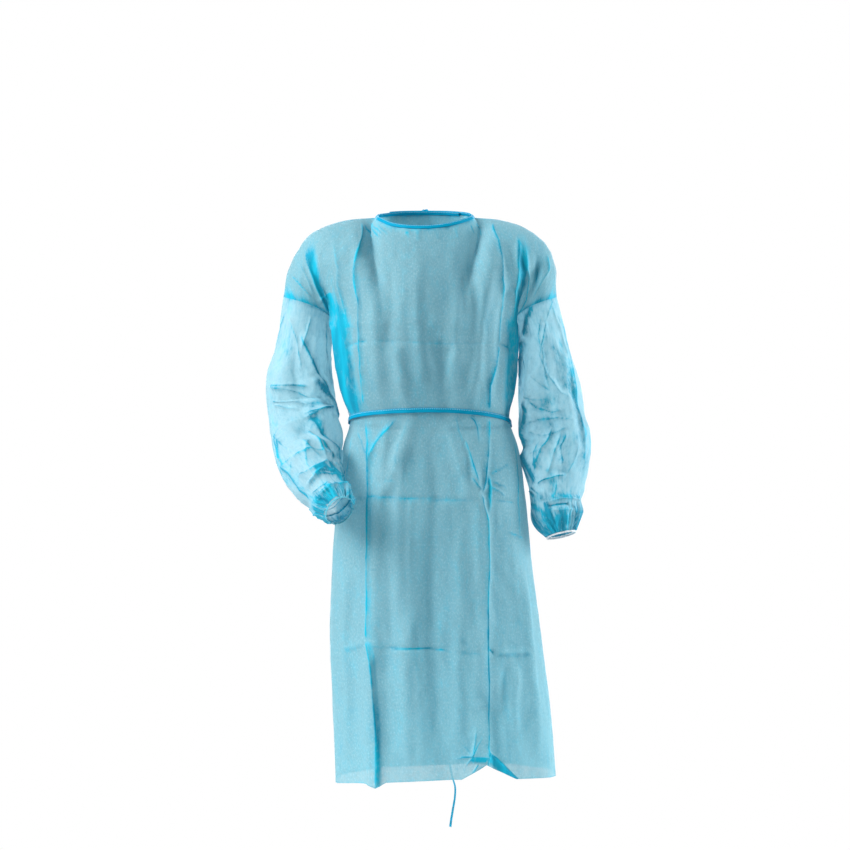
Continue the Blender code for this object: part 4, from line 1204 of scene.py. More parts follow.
@dataclass(frozen=True)
class Panel:
    """One body panel: its part of the form, its columns, and what is pressed into it."""

    name: str
    node: str
    face: Face
    first: float
    last: float
    columns: int
    rows: int
    flat: Flat
    area: float
    creases: tuple[Crease, ...] = ()
    notches: tuple[Notch, ...] = ()
    lapped: bool = False
    seed: float = 1.0
    crumple: float = 0.0017
    column_spots: Spots = ((0.27, 0.14, 1.5), (-0.40, 0.05, 1.4), (0.86, 0.07, 0.4), (-0.86, 0.07, 0.4))
    row_spots: Spots = ((V_BELT, 0.03, 0.9), (0.965, 0.04, 2.6), (0.06, 0.08, 0.3))
    least_free: float = 0.25  # how much of a crease stays where the cloth is held
    belt_reach: float = 0.011
    notch_start: float = 0.86  # the row from which a notch pulls at the hem
    half_width: float = 0.31
    side_seam: Flat = (0.012, 0.85)  # width and strength of deep colour: seams lying double, the side one widened as painted light on the turned-away sides
    top_seam: Flat = (0.008, 0.55)
    hem_edge: Flat = (0.0030, 0.25)

    def across_and_down(self, grid: Grid, shares: Array) -> tuple[Array, Array]:
        """Where each point lies on the panel.

        Args:
            grid: The points.
            shares: The columns' places, from -1 to 1.

        Returns:
            Each point's distance across from the panel's middle line, and its height.
        """
        steps = np.linalg.norm(np.diff(grid, axis=0), axis=2)
        lengths = np.concatenate([np.zeros((1, grid.shape[1])), np.cumsum(steps, axis=0)])
        zero = np.array([np.interp(0.0, shares, lengths[:, j]) for j in range(grid.shape[1])])
        return lengths - zero[None, :], grid[:, :, 2]

    def build(self, form: BodyForm, finish: Material) -> None:
        """Makes the panel.

        Args:
            form: The body's form.
            finish: The cloth's material.
        """
        shares = crowded(self.first, self.last, self.columns, self.column_spots)
        rows = crowded(0.0, 1.0, self.rows, self.row_spots)
        grid = form.broad(self.face, shares, rows, lap_shift(shares) if self.lapped else 0.0)
        across, down = self.across_and_down(grid, shares)
        lift, doubled_and_shaded = lay_all(self.creases, across, down)
        free = form.held(self.face, shares, down)
        lift = lift * np.maximum(free, self.least_free) + self.rumple(across, down) * free
        lift = self.under_belt(form, grid, shares, lift)
        grid = grid + form.outward(self.face, grid) * lift[:, :, None]
        grid = self.notched(grid, across, rows)
        doubled_and_shaded = np.maximum(doubled_and_shaded, self.seams(shares, rows, across))
        chart = np.stack([across, down], axis=2)
        heart = grid.copy()
        heart[:, :, :2] = (0.0, 0.0)
        mesh = Shell(self.name, grid, chart, doubled_and_shaded).mesh(heart)
        piece = place(self.name, mesh, finish, self.node, "cloth")
        log.info("%s: area %.3f", self.name, area_of(mesh))

    def rumple(self, across: Array, down: Array) -> Array:
        """The small dents of handled non-woven cloth.

        Args:
            across: Each point's place across the cloth.
            down: Each point's height.

        Returns:
            The lift at each point.
        """
        soft = value_noise(across / 0.050, down / 0.075, self.seed)
        ridged = 0.5 - np.abs(value_noise(across / 0.026, down / 0.040, self.seed + 3.0))
        fine = value_noise(across / 0.011, down / 0.017, self.seed + 7.0)
        return self.crumple * (soft * 1.1 + ridged * 0.9 + fine * 0.30)

    def under_belt(self, form: BodyForm, grid: Grid, shares: Array, lift: Array) -> Array:
        """The lift again, where the cloth now stays inside the belt that lies on it."""
        near = bell(grid[:, :, 2] - form.belt_level(self.face, shares)[:, None], self.belt_reach)
        return lift * (1 - near) - BELT_CLEAR * near

    def notched(self, grid: Grid, across: Array, rows: Array) -> Grid:
        """Raises or drops the hem where a pressed fold ends in it.

        Args:
            grid: The panel's points, which are changed.
            across: Each point's place across the cloth.
            rows: The rows' places, from 0 above to 1 at the hem.

        Returns:
            The points.
        """
        reach = smooth_step(self.notch_start, 1.0, rows)[None, :]
        for notch in self.notches:
            away = across - notch.centre
            tent = np.where(away < 0, 1 + away / notch.right, 1 - away / notch.left)
            grid[:, :, 2] += notch.rise * np.clip(tent, 0, 1) * reach
        return grid

    def seams(self, shares: Array, rows: Array, across: Array) -> Array:
        """Where turned-in edges double the cloth: side and shoulder seams, hem and neckline, the side seams widened
        as painted light on the turned-away sides.

        Args:
            shares: The columns' places, from -1 to 1.
            rows: The rows' places, from 0 above to 1 at the hem.
            across: Each point's place across the cloth.

        Returns:
            The share of deep colour at each point.
        """
        edges = (
            ((1 - np.abs(shares)[:, None]) * self.half_width, self.side_seam),
            (rows[None, :], self.top_seam), (1 - rows[None, :], self.hem_edge),
        )
        marks = [bell(away, width) * strength for away, (width, strength) in edges]
        return np.maximum(np.maximum(*marks[:2]), marks[2]) * np.ones(across.shape)


@dataclass(frozen=True)
class SleeveForm:
    """The form of one sleeve with its cuff, as in its solids."""

    side: Side
    round_size: float = 0.16  # turns times this are the broad folds' distances
    look_ahead: float = 0.02  # step down the arm that gives its direction
    outward_rise: float = 0.25  # how far up turn 0 leans

    def frame(self, places: Array) -> tuple[Array, Array, Array]:
        """The arm's sections.

        Args:
            places: Places from 0 to 1 down the arm.

        Returns:
            Centres, outward radii and forward radii.
        """
        sections = ARMS[self.side]
        knots = np.linspace(0, 1, len(sections))
        centres = [s[:3] for s in sections]
        centre = through(knots, centres, places)
        tangent = unit(through(knots, centres, places + self.look_ahead)
                       - through(knots, centres, places - self.look_ahead))
        sizes = through(knots, [s[3:] for s in sections], places)
        out = np.array([math.copysign(1.0, sections[0].x), 0.0, self.outward_rise])
        out = unit(out - tangent * np.sum(tangent * out, axis=1, keepdims=True))
        front = np.cross(tangent, out)
        flip = front[:, 1] - front[:, 2] > 0
        front[flip] = -front[flip]
        return centre, out * sizes[:, :1], front * sizes[:, 1:]

    def rings(self, turns: Array, places: Array) -> Grid:
        """Rings of points round the arm.

        Args:
            turns: Degrees round it: 0 is outside and 90 the front.
            places: Places from 0 to 1 down it.

        Returns:
            The points.
        """
        centre, out, front = self.frame(places)
        turn = np.radians(turns)[:, None, None]
        return centre + out * np.cos(turn) + front * np.sin(turn)

    def seam(self, form: BodyForm, turns: Array) -> Array:
        """The armhole seam as a ring.

        Args:
            form: The body's form.
            turns: Degrees round it: 0 is the shoulder end and 180 the underarm.

        Returns:
            One point for each turn.
        """
        turn = np.mod(turns, 360)
        front = form.armhole(self.side, Face.FRONT, np.clip(turn / 180, 0, 1))
        back = form.armhole(self.side, Face.BACK, np.clip((360 - turn) / 180, 0, 1))
        return np.where((turn <= 180)[:, None], front, back)

    def ruck_lift(self, turns: Array, places: Array) -> Array:
        """The lift of the sleeve's broad folds.

        Args:
            turns: Degrees round the arm, as a column.
            places: Places down the arm, as a row.

        Returns:
            The lift at each point.
        """
        total = np.zeros(np.broadcast(turns, places).shape)
        for ruck in SLEEVE_FOLDS[self.side]:
            ax, bx = (math.radians(turn) * self.round_size for turn in (ruck.turn_a, ruck.turn_b))
            run_x, run_p = bx - ax, ruck.place_b - ruck.place_a
            best = np.zeros(total.shape)
            for wrap in WRAPS:
                x = np.radians(turns + wrap) * self.round_size
                t = ((x - ax) * run_x + (places - ruck.place_a) * run_p) / (run_x**2 + run_p**2)
                t = np.clip(t, 0, 1)
                away = np.hypot(x - ax - t * run_x, places - ruck.place_a - t * run_p)
                best = np.maximum(best, bell(away, ruck.spread))
            total += best * ruck.height
        return total


# Creases of the sleeves: round the arm from its outer side forwards, and down from the armhole
# Wide threads lay deep colour over broad zones: the folds' double layers, and painted shade along them and on the
# side towards the body
RIGHT_SLEEVE_CREASES = (
    Crease((131.4, 132.5, 158, 160.9, 187.2, 199.9, 195.5, 239.4), 4.6, 8, .6, thread=11, ends=(.15, .1)),
    Crease((91.3, 266.2, 109.1, 282.4, 125.4, 326.1, 136.7, 366.8), -4.6, 10, .62, thread=9),
    Crease((86.9, 260.5, 122.6, 254.8, 178.6, 208.8), 4, 3.6, .5, thread=2.6),
    Crease((88.7, 298.2, 94.7, 348.3, 89.7, 408.3), 4, 3.6, .5, thread=2.6),
    Crease((113.3, 321.2, 133.6, 348.3, 129.1, 391.4), 3, 6, .58, thread=10, ends=(.2, .1)),
    Crease((91.9, 47.5, 123.2, 84.5, 154.8, 136.3, 178.6, 177.7), 4.2, 5, .6, 10, .35, thread=3.4),
    Crease((48.2, 220.5, 24.3, 308, 14.2, 373, 295.4, 422.4), 3.4, 4, .5, -7, .3),
    Crease((43.5, 154.8, 91, 153.6, 131.6, 156), 3.6, 3.6, .5, -10, .35),
    Crease((44.7, 181.3, 81.8, 206.3, 111.7, 231.2), 3.4, 3.6, .42),
    Crease((43.8, 431.2, 71.9, 428.4, 85.6, 446.7, 86.6, 487.9), 3, 6, .6, thread=11, ends=.1),
    Crease((46.8, 20.1, 89.3, 61.3, 115.8, 123.6), 3, 4.6, .34),
    Crease((83.2, 348.3, 51.6, 400.1, 42.7, 430.3), 3, 4.4, .36),
    Crease((34.4, 312.9, 12.1, 360.5), 2.6, 3.2, .45),
    Crease((4.4, 355.9, 11.7, 395.8, 7, 425.5, 3, 445.3, 1.1, 463.4), 4, 4.2, .6, 8, .35),
    Crease((31.1, 380.8, 12.2, 402.9), 2.4, 3, .4),
    Crease((13.9, 413.3, 31.5, 424.5, 48.6, 428.4, 70, 422.4, 96.8, 402.9), 5.5, 6, .55, -8, .4),
    Crease((36.4, 154.8, 81, 159.7, 106.5, 168.1, 127.7, 192.3), 4.6, 6, .4, -9, .25),
    Crease((82.7, 276.4, 107.8, 266.2, 136.1, 247.7, 175.1, 215.3), 5, 6, .45, -10, .3),
    Crease((45.6, 198.6, 70.9, 229.8, 91, 243.5), 3.4, 5, .3),
    Crease((147.9, 160.9, 164.4, 183.7, 178.6, 208.8), 3.4, 4.6, .34),
    Crease((75.4, 428.4, 49.5, 441.7, 25.1, 448.1, 12.7, 454.2), 4.4, 3.6, .6, 8, .75),
    Crease((61.3, 434.6, 37.8, 445.3), 2, 6, .85, thread=7.5),
    Crease((86, 408.3, 93.2, 428.4, 107, 441), 3, 8, .82, thread=13, ends=(.2, .1)),
    Crease((98.2, 348.3, 101.5, 377.7, 107.8, 400.1), 3.4, 7, .6, thread=6, ends=(.4, .1)),
    Crease((107.8, 400.1, 119.5, 418.1, 91.6, 481.4), 3, 4, .75, thread=5, ends=.1),
    Crease((262.2, 422.4, 3, 445.3), 2.2, 2.4, .5),
    Crease((3, 445.3, 219.5, 449.5), 2.4, 2.4, .6),
    Crease((218.7, 460.2, 230.7, 486.4, 202.4, 492.7), 2.4, 2.4, .65),
    Crease((218.7, 460.2, .6, 493.2, 9.2, 507.4), 2.4, 2.4, .65),
    Crease((218.7, 460.2, 10.1, 487.4, 26.8, 491.8), 2.6, 2.6, .65),
    Crease((222.5, 465.8, 233.1, 481.4, 222.6, 483.4), 2.2, 2.2, .55),
    Crease((11.5, 468.6, 32.4, 474.1, 53.8, 472.5), 2.8, 3, .6),
    Crease((4.6, 434.6, .6, 468.6), 2.4, 2.6, .5),
    *swells(
        ((36.2, 23.3, 34.3, 87.5, 66.9, 162.1, 41.2, 326.1), 4, 11),
        ((88.5, 26.5, 94.1, 91.4, 109.6, 176.5, 76.3, 346.8), -4, 12),
    ),
    Crease((139.2, 23.3, 135.8, 97.8, 138.5, 205, 106.5, 346.8), 4, 11, .12, thread=6, soft=True),
    Crease((48.2, 12.2, 36.3, 44.3, 36.3, 91.4), 3, 4.4, .36),
    Crease((113.6, 12.2, 110.7, 52.2, 104.7, 85.5), 3, 4.6, .32),
    Crease((155.8, 13.7, 167.2, 67, 184.4, 121), 3.4, 4.6, .42, ends=(.05, .4)),
    Crease((16.6, 259, 32.5, 335.8, 48.6, 383.9), 3.2, 5, .3),
    Crease((69.4, 345.2, 71.3, 383.9, 80.8, 402.9), 3, 4.4, .36),
    *swells(
        ((250, 80, 262, 160, 255, 250), 4, 10),
        ((310, 100, 298, 190, 312, 280), -3.8, 11),
    ),
    Crease((262, 215, 300, 222, 340, 212), 4.8, 5.6, .38, 8, .25),
    Crease((246, 270, 285, 258, 325, 266), 4.8, 5.6, .36, -8, .25),
    Crease((270, 312, 300, 300, 330, 318), 4, 4.8, .4),
    Crease((240, 335, 258, 352, 262, 372), 3.2, 3.6, .45),
    Crease((330, 60, 338, 130, 322, 200), 3.2, 4.6, .3),
)
LEFT_SLEEVE_CREASES = (
    Crease((33.8, 54.7, 44.4, 129.7, 48.3, 217.7, 34.2, 296.1, 10.2, 347), 3.4, 7, .36, thread=11),
    Crease((177.8, 178.5, 177.7, 238.8, 175.5, 310.4, 149.1, 358.1), 3.4, 7, .42, thread=12),
    Crease((75.3, 28.6, 106.2, 72.3, 106.8, 132.2, 99.2, 186.3), 5, 6, .4, -12, .4, ends=(.1, .3)),
    Crease((145.1, 178.5, 130.3, 202.6, 103.4, 216.4, 74.4, 211.3), 5, 5, .46, 10, .4),
    Crease((129.9, 275.4, 131, 308.4, 115.9, 341.9), 4.6, 5, .46, -9, .4),
    Crease((80.8, 255.5, 89.8, 287.5, 73.3, 331.3), 4.6, 5, .44, 8, .35),
    Crease((50.3, 3, 50.2, 31.9, 42.3, 60.8), 4.4, 4, .2),
    Crease((142.8, 46.7, 178, 97.2, 182.4, 145.5), 3.6, 8, .6, thread=12),
    Crease((104.7, 0, 126.1, 17.1, 148.5, 53.1), 3.6, 6, .6, thread=9, ends=(.1, .2)),
    Crease((175.5, 170.7, 153.4, 202.6, 169.1, 236.2, 180.2, 296.1), 3.6, 6, .55, thread=8),
    Crease((168.1, 234.9, 133.4, 226.9, 97.6, 228.3, 58.9, 240.1), 4, 4, .45, 8, .3),
    Crease((180.2, 296.1, 140.1, 329.5, 113.9, 359.5), 3.6, 5, .6, thread=7.5, ends=(.2, .1)),
    Crease((27.2, 9.2, 25.9, 72.3, 39.1, 152.6, 47.3, 237.5, 37.4, 287.5), 3, 5, .45, thread=4),
    Crease((107.2, 241.4, 119.4, 289.7, 127.7, 336.7), 3.8, 4.4, .45, -8, .35),
    Crease((90.5, 251.7, 98.9, 301.3, 96.9, 350.3), 3.4, 4.4, .4),
    Crease((133.5, 384.4, 86.6, 386.9, 52.2, 385, 8.5, 382.5), 3, 6, .42, thread=12, ends=.1),
    Crease((118.2, 70.9, 104.6, 124.8, 81.6, 175.1, 51.1, 194.3), 3.6, 4.6, .38, -8, .25),
    Crease((140.2, 122.3, 120, 151.4, 97.9, 172.9), 3, 4.4, .36),
    Crease((42.1, 1.5, 63, 17.1, 80.7, 35.2), 3.4, 4, .4),
    Crease((143, 368.4, 112.7, 381.9), 3, 3.6, .95, thread=5, ends=.05),
    Crease((130.1, 387.5, 108, 407.3, 83.9, 431.8), 3, 7, .78, thread=12, ends=.1),
    Crease((92.7, 389.4, 89.8, 412.9, 73.4, 439.3), 2.6, 5, .7, thread=7.5, ends=.1),
    Crease((112.6, 365.1, 94.4, 352.7, 78.7, 347, 58.1, 344.5), 5, 4.2, .62, 8, .4),
    Crease((75.3, 358.1, 74.3, 372.8, 75.2, 388.1), 2.6, 3.2, .48),
    Crease((89.2, 401.3, 69.9, 400.6, 47.7, 400), -4, 3, .98, thread=3, ends=.1),
    Crease((93.8, 395.2, 68.1, 390.7, 37.9, 388.8, 8.4, 393.9), 3.8, 2.6, .35),
    Crease((93, 408.6, 65.3, 413.5, 33.7, 413.5), 3.6, 2.6, .35),
    Crease((40.4, 398.2, 32, 420.5, 17.5, 451.5), 2.8, 3.2, .8, thread=4.2),
    Crease((134.5, 360.3, 103.4, 378.3, 93.8, 395.2), 3, 3.4, .6),
    Crease((69, 416.6, 63.4, 436.3, 55.7, 452.2), 2.4, 2.6, .6),
    Crease((56.3, 418.6, 45.6, 440, 40.2, 455.2), 2.4, 2.6, .6),
    Crease((108.1, 409.2, 99.1, 428.1, 81, 447.7), 2.4, 2.6, .6),
    *swells(
        ((44.8, 56.2, 61.8, 145.5, 68.4, 253, 48.6, 328.6), 4, 11),
        ((99.8, 49.9, 108.2, 143.1, 107.8, 253, 82.7, 335.8), -4, 12),
        ((132.9, 38.5, 144, 138.3, 144.7, 246.6, 114.6, 334.9), 4, 11),
    ),
    Crease((155, 31.9, 163.2, 82.3, 146.9, 138.3), 3.4, 4.6, .42, ends=(.05, .4)),
    Crease((84.6, 17.1, 107.9, 56.2, 112.1, 103.5), 3, 4.6, .32),
    Crease((36.8, 23.7, 42.3, 60.8, 45.9, 108.5), 3, 4.4, .34),
    Crease((161, 169.6, 131.9, 185.2, 99.2, 186.3), 4.2, 5.6, .34, 8, .2),
    Crease((160.3, 242.7, 129.2, 263.9, 99.9, 257.9, 71.4, 245.3), 4.2, 5.6, .3),
    Crease((145.8, 307.4, 128.3, 301.3, 111, 289.7), 3.2, 4.6, .3),
    Crease((58.9, 273.1, 56.4, 312.4, 60.9, 342.8), 3, 4.4, .34),
    *swells(
        ((236, 80, 248, 160, 242, 250), 4, 10),
        ((300, 100, 288, 190, 300, 280), -3.8, 11),
    ),
    Crease((250, 205, 284, 213, 322, 204), 4.6, 5.6, .36, -8, .25),
    Crease((238, 262, 272, 252, 312, 258), 4.6, 5.6, .34, 8, .25),
    Crease((262, 318, 284, 306, 312, 322), 3.8, 4.6, .38),
    Crease((232, 345, 246, 362, 250, 384), 3.2, 3.6, .42),
    Crease((318, 60, 326, 130, 312, 200), 3.2, 4.6, .3),
)
SLEEVE_CREASES = {Side.RIGHT: RIGHT_SLEEVE_CREASES, Side.LEFT: LEFT_SLEEVE_CREASES}


@dataclass(frozen=True)
class Sleeve:
    """One sleeve and its gathered cuff, which share one run of cloth down the arm."""

    side: Side
    sleeve_flat: Flat
    sleeve_area: float
    cuff_flat: Flat
    cuff_area: float
    columns: int = 216
    bridge_rows: int = 30
    rows: int = 150
    cuff_rows: int = 44
    gathers: tuple[tuple[int, float, float], ...] = ((15, 0.0026, 0.4), (22, 0.0022, 2.1), (36, 0.0010, 4.4))
    seed: float = 11.0
    bridge: float = 0.12  # the run from seam to arm, in the arm's places
    tuck: float = 0.0026  # how far that run turns in under the arm
    tuck_turns: Flat = (60, 115)
    tuck_speed: float = 1.6
    crumple: float = 0.0021
    crumple_start: Flat = (-0.12, -0.04)
    crease_start: Flat = (-0.12, -0.07)
    fold_fade: float = 0.14  # broad folds end this far before the cuff
    gather_start: float = CUFF_START - 0.10
    gather_full: float = 0.93
    gather_trough_shade: Flat = (0.0006, -0.0030)  # lifts between which a gather's trough gets deep colour as painted shade
    # lifts between which a dent's trough gets deep colour as painted shade
    dent_trough_shade: Flat = (0.0014, -0.0030)
    seam_lines: tuple[tuple[float, float, float], ...] = ((0.001, 0.0022, 0.62), (0.016, 0.0014, 0.40))
    seam_band: float = 0.26
    under_seam: tuple[float, float, float] = (205, 0.0025, 0.5)  # its turn, width and strength
    map_size: float = 0.065  # radius of the tube that the map unrolls
    arm_size: float = 0.06

    def surface(self, form: BodyForm, arm: SleeveForm, turns: Array) -> tuple[Grid, Array]:
        """The whole run of cloth from the armhole to the cuff's opening.

        Args:
            form: The body's form, for the armhole seam.
            arm: The sleeve's form.
            turns: Degrees round the arm, one for each column.

        Returns:
            The points before creases, and each row's place down the arm, below 0 above it.
        """
        places = np.concatenate([
            np.linspace(0, CUFF_START, self.rows),
            np.linspace(CUFF_START, 1, self.cuff_rows)[1:],
        ])
        rings = arm.rings(turns, places)
        seam = arm.seam(form, turns)
        run = rings[:, 0] - seam
        inward = arm.frame(np.array([0.0]))[0] - seam
        inward -= unit(run) * np.sum(inward * unit(run), axis=1, keepdims=True)
        under = smooth_step(*self.tuck_turns, 180 - np.abs(turns - 180))[:, None]
        ahead = (rings[:, 1] - rings[:, 0]) / (places[1] - places[0]) * self.bridge
        bridge = []
        for t in np.linspace(0, 1, self.bridge_rows, endpoint=False):
            point = seam + run * t + (ahead - run) * (t**3 - t**2)
            turned = under * self.tuck * math.sin(math.pi * min(t * self.tuck_speed, 1.0))
            bridge.append(point + unit(inward) * turned)
        grid = np.concatenate([np.stack(bridge, axis=1), rings], axis=1)
        return grid, np.concatenate([np.linspace(-self.bridge, 0, self.bridge_rows, endpoint=False), places])

    def gather_lift(self, turns: Array, place_down: Array) -> Array:
        """The uneven gathers that the elastic draws into the cloth.

        Args:
            turns: Degrees round the arm, one for each column.
            place_down: Each row's place down the arm.

        Returns:
            The lift at each point.
        """
        place_at, turn_at = place_down[None, :], turns[:, None]
        grown = smooth_step(self.gather_start, self.gather_full, place_at)
        grown = grown * (0.55 + 0.45 * smooth_step(0.8, 1.0, place_at))
        wander = 0.60 * value_noise(turn_at / 30.0, place_at * 12.0, self.seed, 12)
        uneven = 0.72 + 0.5 * value_noise(turn_at / 24.0, place_at * 4.0, self.seed + 2.0, 15)
        angle = np.radians(turn_at)
        turned = ((angle * count / 2 + phase + wander * 1.5, depth) for count, depth, phase in self.gathers)
        lift = sum(depth * (1 - 2 * np.abs(np.sin(turn))) for turn, depth in turned)
        return lift * grown * uneven

    def build(self, form: BodyForm, finish: Material) -> None:
        """Makes the sleeve and its cuff.

        Args:
            form: The body's form.
            finish: The cloth's material.
        """
        arm = SleeveForm(self.side)
        turns = np.linspace(0, 360, self.columns + 1)
        grid, place_down = self.surface(form, arm, turns)
        steps = np.linalg.norm(np.diff(grid, axis=1), axis=2).mean(axis=0)
        down = np.concatenate([[0], np.cumsum(steps)])
        middle = grid[:-1].mean(axis=0)
        size = np.linalg.norm(grid - middle, axis=2).mean(axis=0)
        down_all = np.broadcast_to(down[None, :], grid.shape[:2])
        fades = CUFF_START - self.fold_fade
        ends = smooth_step(-self.bridge, 0.0, place_down) * (1 - smooth_step(fades, CUFF_START, place_down))
        lift = arm.ruck_lift(turns[:, None], place_down[None, :]) * ends[None, :]
        doubled_and_shaded = np.zeros(lift.shape)
        for wrap in WRAPS:
            across = np.radians(turns + wrap)[:, None] * size[None, :]
            rise, mark = lay_all(SLEEVE_CREASES[self.side], across, down_all)
            lift = lift + rise * smooth_step(*self.crease_start, place_down)[None, :]
            doubled_and_shaded = np.maximum(doubled_and_shaded, mark)
        gathers = self.gather_lift(turns, place_down)
        # Painted shade: deep colour in the gathers' troughs
        doubled_and_shaded = np.maximum(doubled_and_shaded, smooth_step(*self.gather_trough_shade, gathers) * 0.95)
        dents = self.rumple(turns, down) * smooth_step(*self.crumple_start, place_down)[None, :]
        # Painted shade: deep colour in the dents' troughs
        doubled_and_shaded = np.maximum(doubled_and_shaded, smooth_step(*self.dent_trough_shade, dents) * 0.62)
        lift = lift + gathers + dents
        doubled_and_shaded = np.maximum(doubled_and_shaded, self.seams(turns, down, place_down))
        grid = grid + unit(grid - middle) * lift[:, :, None]
        grid[-1], doubled_and_shaded[-1] = grid[0], doubled_and_shaded[0]
        chart_across = np.broadcast_to(np.radians(turns)[:, None] * self.map_size, down_all.shape)
        chart = np.stack([chart_across, down_all], axis=2)
        cut = int(np.argmin(np.abs(place_down - CUFF_START)))
        heart = np.broadcast_to(middle, grid.shape)
        for node, part, flat, area, held in (
            (f"sleeve_{self.side.value}", slice(0, cut + 1), self.sleeve_flat, self.sleeve_area, "hung"),
            (f"cuff_{self.side.value}", slice(cut, None), self.cuff_flat, self.cuff_area, "gathered"),
        ):
            shell = Shell(node + "_cloth", grid[:, part], chart[:, part], doubled_and_shaded[:, part], closed=True)
            mesh = shell.mesh(heart[:, part])
            piece = place(shell.name, mesh, finish, node, "cloth")
            log.info("%s: area %.3f", shell.name, area_of(mesh))

    def rumple(self, turns: Array, down: Array) -> Array:
        """The small dents of handled non-woven cloth, meeting round the arm.

        Args:
            turns: Degrees round the arm, one for each column.
            down: Each row's distance down the cloth.

        Returns:
            The lift at each point.
        """
        share, row = turns[:, None] / 360, down[None, :]
        soft = value_noise(share * 8, row / 0.070, self.seed, 8)
        ridged = 0.5 - np.abs(value_noise(share * 15, row / 0.038, self.seed + 3.0, 15))
        fine = value_noise(share * 36, row / 0.016, self.seed + 7.0, 36)
        return self.crumple * (soft * 1.1 + ridged * 1.2 + fine * 0.3)

    def seams(self, turns: Array, down: Array, place_down: Array) -> Array:
        """The armhole's double seam, the seam under the arm, and the cuff's turned edge.

        Args:
            turns: Degrees round the arm, one for each column.
            down: Each row's distance down the cloth.
            place_down: Each row's place down the arm.

        Returns:
            The doubled share at each point.
        """
        first, second = (bell(down - at, width) * strength for at, width, strength in self.seam_lines)
        band = (down < self.seam_lines[1][0]) * self.seam_band
        armhole = np.maximum(np.maximum(first, second), band)[None, :]
        turn, width, strength = self.under_seam
        away = np.radians(np.abs(np.mod(turns - turn + 180, 360) - 180)) * self.arm_size
        under = bell(away[:, None], width) * strength * np.ones((1, len(down)))
        cuff = smooth_step(0.70, self.gather_full, place_down)[None, :] * 0.85
        return np.maximum(np.maximum(armhole, under), cuff)


@dataclass(frozen=True)
class Strip:
    """A folded strip: a soft flat section swept along a line."""

    width: float
    thickness: float
    sides: int = 14
    edge_power: float = 0.75  # below 1 squares the section
    face_power: float = 0.55

    def mesh(self, name: str, line: Array, wide: Array, thick: Array, looped: bool) -> bpy.types.Mesh:
        """Sweeps the strip.

        Args:
            name: The mesh's name.
            line: The points that its middle follows.
            wide: Unit vectors across the strip.
            thick: Unit vectors square to it.
            looped: Whether its ends meet.

        Returns:
            The mesh, with the map cloth in metres along and across.
        """
        turn = np.linspace(0, 2 * math.pi, self.sides + 1)
        flat = np.sign(np.cos(turn)) * np.abs(np.cos(turn)) ** self.edge_power * self.width / 2
        deep = np.sign(np.sin(turn)) * np.abs(np.sin(turn)) ** self.face_power * self.thickness / 2
        grid = line + wide * flat[:, None, None] + thick * deep[:, None, None]
        chart = np.stack(np.broadcast_arrays(lengths_of(line)[None, :], flat[:, None]), axis=2)
        heart = np.broadcast_to(line, grid.shape)
        mesh = Shell(name, grid, chart, np.zeros(grid.shape[:2]), closed=True).mesh(heart)
        if not looped:
            rework(mesh, lambda bm: bmesh.ops.holes_fill(bm, edges=bm.edges, sides=self.sides))
            mesh.shade_smooth()
        return mesh


@dataclass(frozen=True)
class Ties:
    """The loose ends of belt and neck ties, which hang down the back as flat limp strips."""

    width: float = 0.0078
    thickness: float = 0.0012
    step: float = 0.004
    twist: float = 1.15  # how far they turn to each side, in radians
    turns: float = 5.0

    def build(self, finish: Material) -> None:
        """Args:
            finish: The folded strip's material.
        """
        for node, route, phase in (
            ("belt_tail_long", BELT_TAIL_LONG, 0.3), ("belt_tail_short", BELT_TAIL_SHORT, 1.7),
            ("neck_tail_left", NECK_TAIL_LEFT, 2.6), ("neck_tail_right", NECK_TAIL_RIGHT, 4.0),
        ):
            share = np.linspace(0, 1, round(lengths_of(route)[-1] / self.step) + 1)
            line = along_table(route, share)
            run = unit(np.gradient(line, axis=0))
            back = np.array([0.0, 1.0, 0.0])
            thick = unit(back - run * (run @ back)[:, None])
            angle = self.twist * np.sin(share * self.turns + phase)[:, None]
            turned = np.cross(run, thick) * np.cos(angle) + thick * np.sin(angle)
            square = np.cross(turned, run)
            mesh = Strip(self.width, self.thickness).mesh(node + "_tape", line, turned, square, looped=False)
            piece = place(node + "_tape", mesh, finish, node, "tape")


@dataclass(frozen=True)
class Knot:
    """A pulled knot of folded strip: a flattened strip that winds through itself."""

    name: str
    node: str
    centre: Point
    size: Point = Point(0.017, 0.011, 0.013)
    fill: float = 0.62  # share of its size that the strip's middle line takes
    strip: Strip = Strip(0.0058, 0.0024)
    points: int = 121

    def build(self, finish: Material) -> None:
        """Makes the knot.

        Args:
            finish: The folded strip's material.
        """
        t = np.linspace(0, 2 * math.pi, self.points)
        line = np.stack([
            np.sin(t) + 2 * np.sin(2 * t), -np.sin(3 * t) * 1.1, np.cos(t) - 2 * np.cos(2 * t),
        ], axis=1)
        centre, winding = np.array(self.centre), np.array([5.2, 2.2, 5.2])  # the curve's own size
        line = line * (np.array(self.size) / winding * self.fill) + centre
        run = unit(np.roll(line, -1, 0) - np.roll(line, 1, 0))
        run[0] = run[-1] = unit(line[1] - line[-2])
        thick = unit(line - centre + np.array([0.0, 0.003, 0.0]))
        thick = unit(thick - run * np.sum(thick * run, axis=1, keepdims=True))
        mesh = self.strip.mesh(self.name, line, np.cross(run, thick), thick, looped=True)
        place(self.name, mesh, finish, self.node, "tape")


